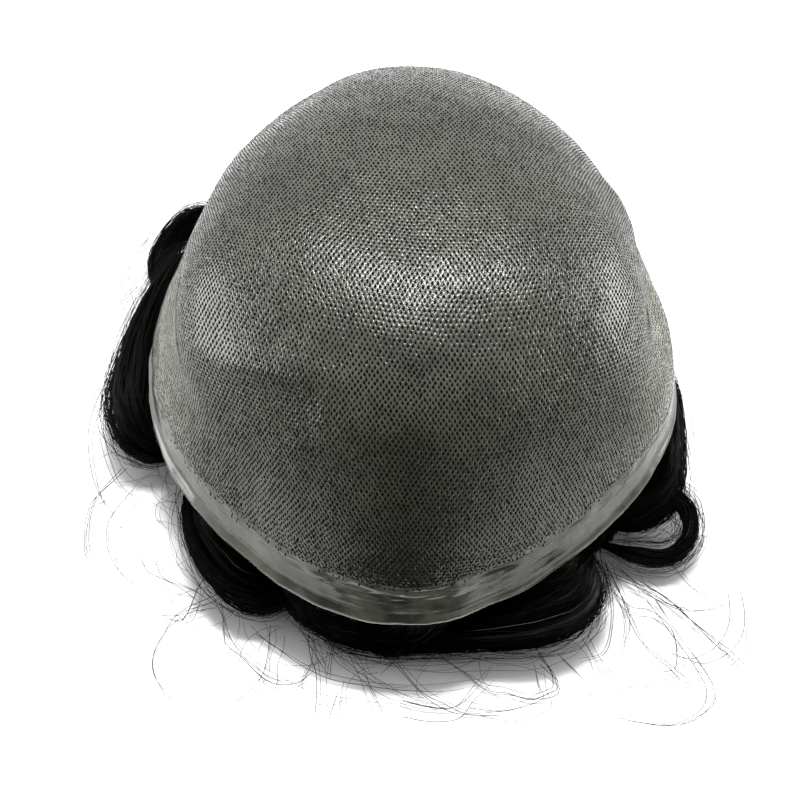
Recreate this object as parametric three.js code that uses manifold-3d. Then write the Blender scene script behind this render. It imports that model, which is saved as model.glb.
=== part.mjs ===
// A skin-base toupee, turned inside out and lying on its own hair.
// The poly skin is a thin moulded cap with a hair-free band round its edge. Its scalp side faces out.
// The hair is knotted to the other side, so it lies bunched under the cap, falls below the rim to the
// surface, and spills out in locks at the front, the sides and the back.
// X runs across the cap, Y from its front to its back, and Z up from the surface that the hair lies on.

import * as THREE from "three";
import { mergeVertices } from "three/addons/utils/BufferGeometryUtils.js";
import Module from "manifold-3d";

const wasm = await Module();
wasm.setup();

// Driving sizes, in millimetres.
const capWidth = 150; // across the rim
const frontReach = 79; // from under the crown to the front of the rim
const backReach = 104; // from under the crown to the back of the rim
const domeRise = 73; // from the front of the rim up to the crown
const rimLift = 32; // from the surface up to the front of the rim
const skinWall = 1; // poly skin, drawn at the thickness of a thin cloth
const bandWidth = 12; // hair-free edge, along the skin
const bandWall = 1.2; // the edge is a second coat of the same poly
const bandStep = 0.2; // how far the second coat stands proud
const lipFlare = 1.6; // how far the cut edge curls outwards
const bedDepth = 8; // hair bunched under the skin
const fallDepth = 13; // hair bunched between the rim and the surface
const waveDepth = 2.2; // relief of the bunched locks on their inner side
const fallRelief = 3; // relief of the locks that fall from the rim, on their outer side
const lockSpan = 12; // a full lock, from side to side
const lockHeight = 14; // a full lock, from its underside up
const clearance = 0.3; // between neighbouring pieces
const looseness = 0.7; // between the skin and the hair bunched under it

// Numbers of steps. They set the fineness of the surfaces and nothing else.
const roundSteps = 56;
const bedColumns = 80;
const domeSteps = 12;
const bandSteps = 3;
const bedSteps = 5;
const fallSteps = 3;
const lockSteps = 12;
const lockSides = 10;

const degrees = Math.PI / 180;
const fullTurn = 360;

// The rim, by azimuth in degrees: 0 is the wearer's side at +X, -90 the front, 90 the back.
// reach is a share of the plan's oval, lift a share of rimLift, and wrap the angle through which the
// wall has turned from the crown when it gets to the rim.
const rim = [
  { azimuth: -170, reach: 0.98, lift: 1.12, wrap: 92 },
  { azimuth: -150, reach: 0.95, lift: 1.05, wrap: 86 },
  { azimuth: -129, reach: 0.93, lift: 1.0, wrap: 82 },
  { azimuth: -106, reach: 0.975, lift: 1.0, wrap: 80 },
  { azimuth: -88, reach: 1.0, lift: 1.0, wrap: 80 },
  { azimuth: -72, reach: 0.965, lift: 1.0, wrap: 80 },
  { azimuth: -54, reach: 0.943, lift: 1.0, wrap: 82 },
  { azimuth: -36, reach: 0.967, lift: 1.08, wrap: 84 },
  { azimuth: -17, reach: 1.02, lift: 1.18, wrap: 88 },
  { azimuth: 5, reach: 1.02, lift: 1.2, wrap: 94 },
  { azimuth: 40, reach: 0.985, lift: 1.0, wrap: 98 },
  { azimuth: 90, reach: 1.0, lift: 0.8, wrap: 100 },
  { azimuth: 125, reach: 1.0, lift: 0.85, wrap: 99 },
  { azimuth: 150, reach: 0.985, lift: 0.95, wrap: 98 },
  { azimuth: 172, reach: 1.0, lift: 1.1, wrap: 95 },
];
const squareness = 2.25; // 2 makes the wall a plain ellipse, and more squares its shoulder

// Dents and swellings of the soft cap. azimuth and down (0 at the crown, 1 at the rim) place the
// middle, long and wide are shares of frontReach, heading turns the long side away from the line that
// runs down the wall, and depth is a share of domeRise, inwards when positive.
const dents = [
  { name: "flat crown", azimuth: -90, down: 0.12, long: 0.5, wide: 0.5, heading: 0, depth: 0.03 },
  { name: "brow ridge", azimuth: -90, down: 0.42, long: 0.12, wide: 0.5, heading: 0, depth: -0.03 },
  { name: "brow hollow", azimuth: -92, down: 0.66, long: 0.16, wide: 0.45, heading: 0, depth: 0.025 },
  { name: "left pleat", azimuth: -135, down: 0.5, long: 0.06, wide: 0.3, heading: 20, depth: -0.018 },
  { name: "left waist", azimuth: 165, down: 0.72, long: 0.2, wide: 0.55, heading: 0, depth: 0.06 },
  { name: "right waist", azimuth: 10, down: 0.7, long: 0.16, wide: 0.4, heading: -15, depth: 0.045 },
  { name: "right pleat", azimuth: 25, down: 0.62, long: 0.07, wide: 0.35, heading: 25, depth: -0.015 },
  { name: "back dent", azimuth: 120, down: 0.55, long: 0.2, wide: 0.3, heading: 0, depth: 0.04 },
];

// The locks of each hair piece, root first. azimuth is in degrees, reach a share of the rim's own
// distance, up a share of rimLift, span a share of lockSpan and high a share of lockHeight.
const locks = {
  left: [
    [
      { azimuth: 128, reach: 0.9, up: 0.76, span: 0.45, high: 0.6 },
      { azimuth: 130, reach: 1.05, up: 0.8, span: 0.45, high: 0.55 },
      { azimuth: 132, reach: 1.16, up: 0.74, span: 0.48, high: 0.5 },
      { azimuth: 137, reach: 1.22, up: 0.64, span: 0.46, high: 0.5 },
      { azimuth: 143, reach: 1.23, up: 0.52, span: 0.4, high: 0.45 },
      { azimuth: 147, reach: 1.16, up: 0.36, span: 0.3, high: 0.35 },
    ],
    [
      { azimuth: 136, reach: 0.9, up: 0.76, span: 0.5, high: 0.7 },
      { azimuth: 139, reach: 1.04, up: 0.78, span: 0.45, high: 0.7 },
      { azimuth: 146, reach: 1.11, up: 0.72, span: 0.58, high: 0.85 },
      { azimuth: 158, reach: 1.12, up: 0.64, span: 0.78, high: 1.05 },
      { azimuth: 170, reach: 1.11, up: 0.57, span: 0.95, high: 1.15 },
      { azimuth: 179, reach: 1.11, up: 0.5, span: 1.0, high: 1.1 },
      { azimuth: 186, reach: 1.06, up: 0.41, span: 0.88, high: 0.9 },
      { azimuth: 188, reach: 0.97, up: 0.33, span: 0.6, high: 0.6 },
    ],
  ],
  front: [
    [
      { azimuth: -158, reach: 0.88, up: 0.7, span: 0.6, high: 0.8 },
      { azimuth: -150, reach: 0.96, up: 0.6, span: 0.8, high: 1.1 },
      { azimuth: -140, reach: 1.01, up: 0.5, span: 0.95, high: 1.2 },
      { azimuth: -130, reach: 1.02, up: 0.44, span: 0.95, high: 1.1 },
      { azimuth: -123, reach: 0.96, up: 0.38, span: 0.8, high: 0.9 },
      { azimuth: -118, reach: 0.87, up: 0.36, span: 0.6, high: 0.7 },
    ],
    [
      { azimuth: -121, reach: 0.88, up: 0.5, span: 0.7, high: 0.9 },
      { azimuth: -112, reach: 0.93, up: 0.44, span: 0.75, high: 0.9 },
      { azimuth: -100, reach: 0.93, up: 0.42, span: 0.75, high: 0.9 },
      { azimuth: -87, reach: 0.91, up: 0.42, span: 0.75, high: 0.9 },
      { azimuth: -75, reach: 0.96, up: 0.44, span: 0.85, high: 1.0 },
      { azimuth: -64, reach: 1.03, up: 0.5, span: 1.15, high: 1.3 },
      { azimuth: -54, reach: 1.06, up: 0.5, span: 1.3, high: 1.4 },
      { azimuth: -46, reach: 0.98, up: 0.48, span: 1.1, high: 1.2 },
      { azimuth: -42, reach: 0.86, up: 0.44, span: 0.8, high: 0.9 },
    ],
  ],
  right: [
    [
      { azimuth: 8, reach: 0.9, up: 1.0, span: 0.4, high: 0.7 },
      { azimuth: 2, reach: 0.99, up: 1.0, span: 0.4, high: 0.8 },
      { azimuth: -7, reach: 1.01, up: 0.82, span: 0.6, high: 1.1 },
      { azimuth: -14, reach: 1.01, up: 0.68, span: 0.95, high: 1.3 },
      { azimuth: -21, reach: 1.01, up: 0.55, span: 1.15, high: 1.3 },
      { azimuth: -27, reach: 0.95, up: 0.45, span: 0.95, high: 1.1 },
      { azimuth: -31, reach: 0.87, up: 0.38, span: 0.7, high: 0.8 },
    ],
    [
      { azimuth: -16, reach: 0.9, up: 0.5, span: 0.4, high: 0.5 },
      { azimuth: -18, reach: 1.05, up: 0.46, span: 0.38, high: 0.5 },
      { azimuth: -20, reach: 1.15, up: 0.38, span: 0.4, high: 0.5 },
      { azimuth: -25, reach: 1.2, up: 0.31, span: 0.42, high: 0.5 },
      { azimuth: -30, reach: 1.17, up: 0.27, span: 0.44, high: 0.5 },
      { azimuth: -33, reach: 1.06, up: 0.28, span: 0.42, high: 0.5 },
      { azimuth: -36, reach: 0.92, up: 0.34, span: 0.4, high: 0.5 },
    ],
  ],
  back: [
    [
      { azimuth: 56, reach: 0.86, up: 0.5, span: 0.7, high: 0.9 },
      { azimuth: 64, reach: 0.95, up: 0.42, span: 0.9, high: 1.1 },
      { azimuth: 74, reach: 0.98, up: 0.35, span: 1.0, high: 1.1 },
      { azimuth: 84, reach: 0.95, up: 0.3, span: 0.9, high: 0.9 },
      { azimuth: 91, reach: 0.87, up: 0.28, span: 0.7, high: 0.7 },
    ],
    [
      { azimuth: 90, reach: 0.86, up: 0.5, span: 0.7, high: 0.9 },
      { azimuth: 98, reach: 0.95, up: 0.42, span: 0.9, high: 1.1 },
      { azimuth: 108, reach: 0.98, up: 0.35, span: 1.0, high: 1.1 },
      { azimuth: 117, reach: 0.95, up: 0.3, span: 0.9, high: 0.9 },
      { azimuth: 123, reach: 0.87, up: 0.28, span: 0.7, high: 0.7 },
    ],
  ],
};

// The hair pieces that lie round the crown piece, each from one azimuth to the next.
const crownShare = 0.42; // how far down the wall the crown's hair goes
const tipShare = 0.25; // the last share of a lock, which tapers to this share of its width
const zones = [
  { name: "left", from: 128, to: 204 },
  { name: "front", from: 204, to: 322 },
  { name: "right", from: 322, to: 410 },
  { name: "back", from: 50, to: 128 },
];

// Reads one column of a table between its rows, with a smooth curve through them. The key column may
// go round a period, and then the last row runs on into the first.
function columnAt(rows, key, column, at, period = 0) {
  const count = rows.length;
  const row = (i) => {
    const turns = period ? Math.floor(i / count) : 0;
    const r = rows[period ? i - turns * count : THREE.MathUtils.clamp(i, 0, count - 1)];
    return { at: r[key] + turns * period, value: r[column] };
  };
  let x = at;
  if (period) {
    x = rows[0][key] + THREE.MathUtils.euclideanModulo(at - rows[0][key], period);
  }
  let i = 0;
  while (i < (period ? count - 1 : count - 2) && row(i + 1).at <= x) {
    i += 1;
  }
  const [before, a, b, after] = [row(i - 1), row(i), row(i + 1), row(i + 2)];
  const step = b.at - a.at;
  const slopeA = (b.value - before.value) / (b.at - before.at);
  const slopeB = (after.value - a.value) / (after.at - a.at);
  const t = THREE.MathUtils.clamp((x - a.at) / step, 0, 1);
  const t2 = t * t;
  const t3 = t2 * t;
  return (
    (2 * t3 - 3 * t2 + 1) * a.value +
    (t3 - 2 * t2 + t) * step * slopeA +
    (3 * t2 - 2 * t3) * b.value +
    (t3 - t2) * step * slopeB
  );
}

// The rim at one azimuth: its distance from the middle, its height and its wrap angle in radians.
function rimAt(azimuth) {
  const x = Math.cos(azimuth * degrees) / (capWidth / 2);
  const y = Math.sin(azimuth * degrees) / (Math.sin(azimuth * degrees) < 0 ? frontReach : backReach);
  return {
    reach: columnAt(rim, "azimuth", "reach", azimuth, fullTurn) / Math.hypot(x, y),
    lift: columnAt(rim, "azimuth", "lift", azimuth, fullTurn) * rimLift,
    wrap: columnAt(rim, "azimuth", "wrap", azimuth, fullTurn) * degrees,
  };
}

// The plain cap before its dents: a superellipse in each upright plane, from the crown at down 0 to
// the rim at down 1.
function plainPoint(azimuth, down) {
  const edge = rimAt(azimuth);
  const arm = (angle) => {
    const out = Math.sin(angle);
    const up = Math.cos(angle);
    const size = (Math.abs(out) ** squareness + Math.abs(up) ** squareness) ** (-1 / squareness);
    return { out: out * size, up: up * size };
  };
  const here = arm(down * edge.wrap);
  const last = arm(edge.wrap);
  const radius = (edge.reach * here.out) / last.out;
  const crown = rimLift + domeRise;
  const height = edge.lift + ((crown - edge.lift) * (here.up - last.up)) / (1 - last.up);
  return new THREE.Vector3(
    radius * Math.cos(azimuth * degrees),
    radius * Math.sin(azimuth * degrees),
    height,
  );
}

// The outward normal of a surface given as a function of azimuth and down. The crown's points up.
function normalOf(surface, azimuth, down) {
  const small = 1e-3;
  if (down < small) {
    return new THREE.Vector3(0, 0, 1);
  }
  const round = surface(azimuth + 0.5, down).sub(surface(azimuth - 0.5, down));
  const along = surface(azimuth, down + small).sub(surface(azimuth, down - small));
  return along.cross(round).normalize();
}

// How far the dents move the wall inwards at one place: a smooth bump for each row of the table.
function dentDepth(azimuth, down) {
  const here = plainPoint(azimuth, down);
  let depth = 0;
  for (const dent of dents) {
    const middle = plainPoint(dent.azimuth, dent.down);
    const normal = normalOf(plainPoint, dent.azimuth, dent.down);
    const level = new THREE.Vector3(0, 0, 1).cross(normal).normalize();
    const downhill = new THREE.Vector3().crossVectors(level, normal).normalize();
    const away = here.clone().sub(middle);
    const turn = dent.heading * degrees;
    const a = away.dot(downhill);
    const b = away.dot(level);
    const long = (a * Math.cos(turn) + b * Math.sin(turn)) / (dent.long * frontReach);
    const wide = (b * Math.cos(turn) - a * Math.sin(turn)) / (dent.wide * frontReach);
    const deep = away.dot(normal) / frontReach;
    depth += dent.depth * domeRise * Math.exp(-long * long - wide * wide - deep * deep);
  }
  return depth;
}

// A point of the cap's outer face, or of a face that lies some way under it.
function capPoint(azimuth, down, under = 0) {
  const point = plainPoint(azimuth, down);
  const normal = normalOf(plainPoint, azimuth, down);
  return point.addScaledVector(normal, -dentDepth(azimuth, down) - under);
}

// The share of the wall, measured up from the rim, that a length along the wall takes.
function shareOfWall(azimuth, length) {
  const steps = 24;
  let whole = 0;
  for (let i = 0; i < steps; i += 1) {
    whole += plainPoint(azimuth, i / steps).distanceTo(plainPoint(azimuth, (i + 1) / steps));
  }
  return length / whole;
}

// One closed surface from a grid of rings. Each ring is a row of points, and the rings run round the
// solid's section, so the last ring joins the first. Rows that go all the way round join at their
// ends, and open rows get a flat end each.
function ringSolid(rings, around) {
  const rows = rings.length;
  const columns = rings[0].length;
  const position = rings.flat().flatMap((p) => [p.x, p.y, p.z]);
  const index = [];
  const quad = (a, b, c, d) => index.push(a, b, c, a, c, d);
  for (let i = 0; i < rows; i += 1) {
    const here = i * columns;
    const next = ((i + 1) % rows) * columns;
    for (let j = 0; j < (around ? columns : columns - 1); j += 1) {
      const k = (j + 1) % columns;
      quad(here + j, here + k, next + k, next + j);
    }
  }
  if (!around) {
    // The section is a strip between an outer and an inner row, so its ends are ladders of quads.
    const half = rows / 2;
    for (let i = 0; i < half - 1; i += 1) {
      const inner = rows - 1 - i;
      const [a, b, c, d] = [i, i + 1, inner - 1, inner].map((row) => row * columns);
      const last = columns - 1;
      quad(a, b, c, d);
      quad(c + last, b + last, a + last, d + last);
    }
  }
  return solidFrom(position, index);
}

// A solid of the manifold library from positions and triangles. Points that coincide are merged, and
// faces that come out pointing inwards are turned round.
function solidFrom(position, index) {
  const geometry = new THREE.BufferGeometry();
  geometry.setAttribute("position", new THREE.Float32BufferAttribute(position, 3));
  geometry.setIndex(index);
  const merged = mergeVertices(geometry, 1e-4);
  const build = (flip) => {
    const triangles = [];
    for (let i = 0; i < merged.index.count; i += 3) {
      const [a, b, c] = [0, 1, 2].map((k) => merged.index.getX(i + k));
      if (a !== b && b !== c && c !== a) {
        triangles.push(...(flip ? [a, c, b] : [a, b, c]));
      }
    }
    const vertProperties = new Float32Array(merged.attributes.position.array);
    return new wasm.Manifold(
      new wasm.Mesh({ numProp: 3, vertProperties, triVerts: new Uint32Array(triangles) }),
    );
  };
  const solid = build(false);
  return solid.volume() > 0 ? solid : build(true);
}

// A three.js geometry from a solid of the manifold library. Only its largest body is kept.
function geometryFrom(solid) {
  const bodies = solid.decompose().sort((a, b) => b.volume() - a.volume());
  const mesh = bodies[0].getMesh();
  const geometry = new THREE.BufferGeometry();
  geometry.setAttribute("position", new THREE.BufferAttribute(mesh.vertProperties, 3));
  geometry.setIndex(new THREE.BufferAttribute(mesh.triVerts, 1));
  geometry.computeVertexNormals();
  return geometry;
}

const turns = (count, from = -180, to = 180) =>
  Array.from({ length: count }, (_, i) => from + ((to - from) * i) / count);
const shares = (count) => Array.from({ length: count + 1 }, (_, i) => i / count);

// The knotted skin: the whole cap from the crown to the band's upper edge.
function skinSolid() {
  const azimuths = turns(roundSteps);
  const end = azimuths.map((a) => 1 - shareOfWall(a, bandWidth + clearance));
  const faceRings = (under) =>
    shares(domeSteps).map((s) => azimuths.map((a, j) => capPoint(a, s * end[j], under)));
  return ringSolid([...faceRings(0), ...faceRings(skinWall).reverse()], true);
}

// The band's outer face, proud of the skin, with its cut edge curled outwards.
function bandPoint(azimuth, share, under) {
  const from = 1 - shareOfWall(azimuth, bandWidth);
  const down = from + (1 - from) * share;
  const curl = lipFlare * share ** 4;
  return capPoint(azimuth, down, under - bandStep - curl);
}

function bandSolid() {
  const azimuths = turns(roundSteps);
  const faceRings = (under) =>
    shares(bandSteps).map((s) => azimuths.map((a) => bandPoint(a, s, under)));
  return ringSolid([...faceRings(0), ...faceRings(bandWall).reverse()], true);
}

// The relief of the bunched locks at one place, as a share from 0 to 1. The locks run slantwise down
// the wall, and they fade out towards the crown, where they all meet.
function wave(azimuth, down) {
  const gathers = 16;
  const slant = 220;
  const fadeIn = Math.min(1, down / crownShare);
  return fadeIn * (0.5 + 0.5 * Math.cos((azimuth * gathers + slant * down) * degrees));
}

// The bunched hair's outer and inner faces. down runs from 0 at the crown to 1 at the rim, and on to
// 2 where the hair meets the surface that it lies on.
const hairTop = Math.max(skinWall, bandWall) + looseness;

function bedOuter(azimuth, down, grow) {
  if (down <= 1) {
    return capPoint(azimuth, down, hairTop - grow);
  }
  const fallen = down - 1;
  const swell = fallRelief * wave(azimuth, down) * Math.sqrt(fallen);
  return fallPoint(azimuth, fallen, hairTop - swell - grow);
}

function bedInner(azimuth, down, grow) {
  const relief = waveDepth * wave(azimuth, down);
  if (down <= 1) {
    const depth = bedDepth + (fallDepth - bedDepth) * down ** 3;
    return capPoint(azimuth, down, hairTop + depth + relief + grow);
  }
  return fallPoint(azimuth, down - 1, hairTop + fallDepth + relief + grow);
}

// The hair's fall from the rim to the surface, drawn in a little at its foot.
function fallPoint(azimuth, fallen, under) {
  const top = capPoint(azimuth, 1, under);
  const drawIn = 0.09;
  const foot = 1 - drawIn * fallen * (2 - fallen);
  return new THREE.Vector3(top.x * foot, top.y * foot, top.z * (1 - fallen));
}

// One zone of the bunched hair as a closed slab. grow thickens it, for cutting a neighbour clear.
function bedSolid(zone, grow = 0) {
  const top = plainPoint(zone.from, crownShare);
  const edge = (clearance / 2 - grow) / Math.hypot(top.x, top.y) / degrees;
  const columns = Math.round(((zone.to - zone.from) / fullTurn) * bedColumns);
  const azimuths = shares(columns).map((s) => zone.from + edge + (zone.to - zone.from - 2 * edge) * s);
  const start = crownShare + (clearance / 2 - grow) / frontReach;
  const downs = [
    ...shares(bedSteps).map((s) => start + (1 - start) * s),
    ...shares(fallSteps).slice(1).map((s) => 1 + s),
  ];
  const outer = downs.map((d) => azimuths.map((a) => bedOuter(a, d, grow)));
  const inner = downs.map((d) => azimuths.map((a) => bedInner(a, d, grow)));
  return ringSolid([...outer, ...inner.reverse()], false);
}

// The crown's hair: a shallow dome under the top of the cap.
function crownSolid() {
  const azimuths = turns(roundSteps);
  const end = crownShare - clearance / 2 / frontReach;
  const downs = shares(bedSteps).map((s) => s * end);
  const outer = downs.map((d) => azimuths.map((a) => bedOuter(a, d, 0)));
  const inner = downs.map((d) => azimuths.map((a) => bedInner(a, d, 0)));
  return ringSolid([...outer, ...inner.reverse()], true);
}

// One lock: ellipses along a curve through the rows of its table, closed by a point at each end.
function lockSolid(rows, grow = 0) {
  const table = rows.map((row, i) => ({ ...row, station: i / (rows.length - 1) }));
  const at = (s, column) => columnAt(table, "station", column, s);
  const centre = (s) => {
    const azimuth = at(s, "azimuth");
    const distance = at(s, "reach") * rimAt(azimuth).reach;
    const half = (at(s, "high") * lockHeight) / 2;
    const height = Math.max(at(s, "up") * rimLift, half + grow + clearance);
    return new THREE.Vector3(
      distance * Math.cos(azimuth * degrees),
      distance * Math.sin(azimuth * degrees),
      height,
    );
  };
  const rings = shares(lockSteps).map((s) => {
    const small = 1e-3;
    const ahead = centre(Math.min(1, s + small)).sub(centre(Math.max(0, s - small))).normalize();
    const side = new THREE.Vector3(0, 0, 1).cross(ahead).normalize();
    const over = ahead.clone().cross(side).normalize();
    const middle = centre(s);
    const taper = Math.min(1, (1 - s) / tipShare + tipShare);
    const halfSpan = (at(s, "span") * lockSpan * taper) / 2 + grow;
    const halfHigh = (at(s, "high") * lockHeight * taper) / 2 + grow;
    return turns(lockSides, 0, fullTurn).map((angle) =>
      middle
        .clone()
        .addScaledVector(side, halfSpan * Math.cos(angle * degrees))
        .addScaledVector(over, halfHigh * Math.sin(angle * degrees)),
    );
  });
  const tip = (ring) => {
    const middle = ring.reduce((sum, p) => sum.add(p), new THREE.Vector3()).divideScalar(ring.length);
    return ring.map(() => middle);
  };
  return ringSolid([tip(rings[0]), ...rings, tip(rings[lockSteps])], true);
}

// Everything that the hair keeps clear of: the skin and the band, thickened by the clearance.
function capKeepOut() {
  const azimuths = turns(roundSteps);
  const inward = hairTop - looseness + clearance;
  const outward = lipFlare + bandStep + clearance;
  const end = azimuths.map((a) => 1 + shareOfWall(a, clearance));
  const faceRings = (under) =>
    shares(domeSteps + bandSteps).map((s) => azimuths.map((a, j) => capPoint(a, s * end[j], under)));
  return ringSolid([...faceRings(-outward), ...faceRings(inward).reverse()], true);
}

const material = (hex, roughness) =>
  new THREE.MeshStandardMaterial({ color: hex, roughness, metalness: 0 });
const skinPoly = material(0x6e6f69, 0.35);
const clearPoly = material(0x8c8d83, 0.28);
const blackHair = material(0x14120f, 0.45);

const toupee = new THREE.Group();
toupee.name = "toupee";

function addPiece(name, solid, finish) {
  const mesh = new THREE.Mesh(geometryFrom(solid), finish);
  mesh.name = name;
  toupee.add(mesh);
  return mesh;
}

addPiece("skin_base", skinSolid(), skinPoly);
addPiece("edge_band", bandSolid(), clearPoly);
addPiece("crown_hair", crownSolid(), blackHair);

// Each zone's hair is its bunched bed with its locks fused in, cut clear of the cap and of the zones
// that were made before it.
const keepOut = capKeepOut();
const grown = zones.map((zone) =>
  [bedSolid(zone, clearance), ...locks[zone.name].map((rows) => lockSolid(rows, clearance))],
);
zones.forEach((zone, i) => {
  let hair = bedSolid(zone);
  for (const rows of locks[zone.name]) {
    let lock = lockSolid(rows);
    zones.forEach((other, k) => {
      if (k !== i) {
        lock = lock.subtract(grown[k][0]);
      }
      if (k < i) {
        grown[k].slice(1).forEach((wide) => {
          lock = lock.subtract(wide);
        });
      }
    });
    hair = hair.add(lock);
  }
  addPiece(zone.name + "_hair", hair.subtract(keepOut), blackHair);
});

// The part's origin is under the middle of its bounding box, on the surface that it lies on.
const bounds = new THREE.Box3().setFromObject(toupee);
const middle = bounds.getCenter(new THREE.Vector3());
toupee.position.set(-middle.x, -middle.y, -bounds.min.z);

export default toupee;
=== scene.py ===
# A men's skin-base toupee, turned inside out and lying on its own black hair.
# The scalp side of the thin poly cap faces up, with the rows of knots showing through it.

import functools
import math

import bpy
import numpy as np
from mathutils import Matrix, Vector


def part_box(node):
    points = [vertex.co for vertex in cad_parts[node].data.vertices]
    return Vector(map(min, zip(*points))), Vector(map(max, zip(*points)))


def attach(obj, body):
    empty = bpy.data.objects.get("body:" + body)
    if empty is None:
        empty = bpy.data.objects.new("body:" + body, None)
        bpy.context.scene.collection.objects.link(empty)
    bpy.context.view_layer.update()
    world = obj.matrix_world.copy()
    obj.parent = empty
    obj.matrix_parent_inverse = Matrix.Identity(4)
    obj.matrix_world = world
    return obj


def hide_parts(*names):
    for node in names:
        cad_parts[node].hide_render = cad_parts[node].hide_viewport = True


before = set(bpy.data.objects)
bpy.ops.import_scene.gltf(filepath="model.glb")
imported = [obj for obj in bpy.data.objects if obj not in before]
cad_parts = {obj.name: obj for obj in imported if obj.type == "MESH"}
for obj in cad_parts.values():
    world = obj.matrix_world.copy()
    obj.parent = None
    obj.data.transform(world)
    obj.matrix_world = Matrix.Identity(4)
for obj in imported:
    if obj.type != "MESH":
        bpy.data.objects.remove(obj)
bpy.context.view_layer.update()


# Camera.
# The photograph looks down on the front edge of the cap from a little above half height, with a
# short telephoto lens. The target is a point inside the cap.
MM = 0.001
camera_target = np.array([-0.3, -22.5, 40.0]) * MM
camera_distance = 545 * MM
camera_elevation = math.radians(53)
camera_data = bpy.data.cameras.new("camera")
camera_data.lens = 85
camera_data.sensor_width = 36
camera_data.clip_start = 0.05
camera = bpy.data.objects.new("camera", camera_data)
towards_camera = np.array([0, -math.cos(camera_elevation), math.sin(camera_elevation)])
camera.location = camera_target + camera_distance * towards_camera
camera.rotation_euler = (math.pi / 2 - camera_elevation, 0, 0)
bpy.context.scene.collection.objects.link(camera)
bpy.context.scene.camera = camera
bpy.context.scene.view_settings.view_transform = "Standard"


# Studio.
# A white table sweep inside a light tent. The tent is open towards the camera, so the side of the
# cap that faces the camera reflects its dark opening, and the flanks reflect white cloth.
def linear(hex_colour, alpha=1.0):
    """Turns an sRGB hex value into linear red, green and blue, with alpha as a fourth number."""
    parts = [int(hex_colour[i:i + 2], 16) / 255 for i in (1, 3, 5)]
    return [c / 12.92 if c <= 0.04045 else ((c + 0.055) / 1.055) ** 2.4 for c in parts] + [alpha]


def feed(node, links):
    """Links inputs of a node, each to an output socket or to a node whose first output is meant."""
    for name, source in links.items():
        output = getattr(source, "outputs", [source])[0]
        node.id_data.links.new(output, node.inputs[name])


def add_node(tree, kind, links=None, values=None, **settings):
    """Adds one shader node to a tree, with what feeds its inputs, the values of its other inputs and
    its own properties."""
    node = tree.nodes.new("ShaderNode" + kind)
    for name, value in settings.items():
        setattr(node, name, value)
    for name, value in (values or {}).items():
        node.inputs[name].default_value = value
    feed(node, links or {})
    return node


def start_material(name, values):
    """Starts a material with the plain values of its shader. Gives the material, its shader and
    add_node for its own tree."""
    material = bpy.data.materials.new(name)
    material.use_nodes = True
    shader = material.node_tree.nodes["Principled BSDF"]
    for socket, value in values.items():
        shader.inputs[socket].default_value = value
    return material, shader, functools.partial(add_node, material.node_tree)


def link_mesh(name, positions, *face_groups, **values):
    """Makes a smooth-shaded object from vertex positions in metres and one or more arrays of faces.
    values are named numbers or vectors of each vertex, for the material to read. Where the faces
    close a solid whose volume would be negative, they are all turned round."""
    positions = np.asarray(positions, float)
    groups = [np.asarray(faces, np.int32) for faces in face_groups]
    volume = 0.0
    for faces in groups:
        for k in range(1, faces.shape[1] - 1):
            a, b, c = (positions[faces[:, i]] for i in (0, k, k + 1))
            volume += (a * np.cross(b, c)).sum()
    if volume < -1e-12:
        groups = [faces[:, ::-1] for faces in groups]
    corners = np.concatenate([faces.ravel() for faces in groups])
    counts = np.concatenate([np.full(len(faces), faces.shape[1]) for faces in groups])
    mesh = bpy.data.meshes.new(name)
    mesh.vertices.add(len(positions))
    mesh.vertices.foreach_set("co", positions.astype(np.float32).ravel())
    mesh.loops.add(len(corners))
    mesh.loops.foreach_set("vertex_index", corners)
    mesh.polygons.add(len(counts))
    mesh.polygons.foreach_set("loop_start", (np.cumsum(counts) - counts).astype(np.int32))
    mesh.polygons.foreach_set("use_smooth", np.full(len(counts), True))
    for key, numbers in values.items():
        numbers = np.asarray(numbers, np.float32)
        kind, field = ("FLOAT", "value") if numbers.ndim == 1 else ("FLOAT_VECTOR", "vector")
        mesh.attributes.new(key, kind, "POINT").data.foreach_set(field, numbers.ravel())
    mesh.update(calc_edges=True)
    mesh.validate()
    made = bpy.data.objects.new(name, mesh)
    bpy.context.scene.collection.objects.link(made)
    return made


def stage_sheet(name, corners, material, seen):
    """Makes a flat rectangle of the studio. One that isn't seen shows in mirrors alone."""
    sheet = link_mesh(name, corners, [(0, 1, 2, 3)])
    sheet.data.materials.append(material)
    sheet.visible_camera = seen
    sheet.visible_diffuse = seen
    sheet.visible_shadow = seen


table_reach = 6.0
table_corners = [
    (-table_reach, -table_reach, 0), (table_reach, -table_reach, 0),
    (table_reach, table_reach, 0), (-table_reach, table_reach, 0),
]
table_paper, _, _ = start_material(
    "matt white paper sweep",
    {"Base Color": linear("#e6e6e6"), "Roughness": 0.9, "Specular IOR Level": 0.1},
)
stage_sheet("table", table_corners, table_paper, True)

tent = bpy.data.worlds.new("light tent")
bpy.context.scene.world = tent
tent.use_nodes = True
tent.node_tree.nodes.clear()
tent_node = functools.partial(add_node, tent.node_tree)
sky = tent_node("TexCoord")
sky_axes = tent_node("SeparateXYZ", {0: sky.outputs["Generated"]})
opening = tent_node(
    "MapRange", {"Value": sky_axes.outputs["Y"]},
    {"From Min": -0.9, "From Max": 0.3, "To Min": 0.08}, interpolation_type="SMOOTHSTEP",
)
cloth = tent_node(
    "Mix", {"Factor": opening}, {6: linear("#000000"), 7: linear("#ffffff")}, data_type="RGBA",
)
tent_light = tent_node("Background", {"Color": cloth.outputs[2]}, {"Strength": 1.68})
tent_node("OutputWorld", {"Surface": tent_light})

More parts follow.
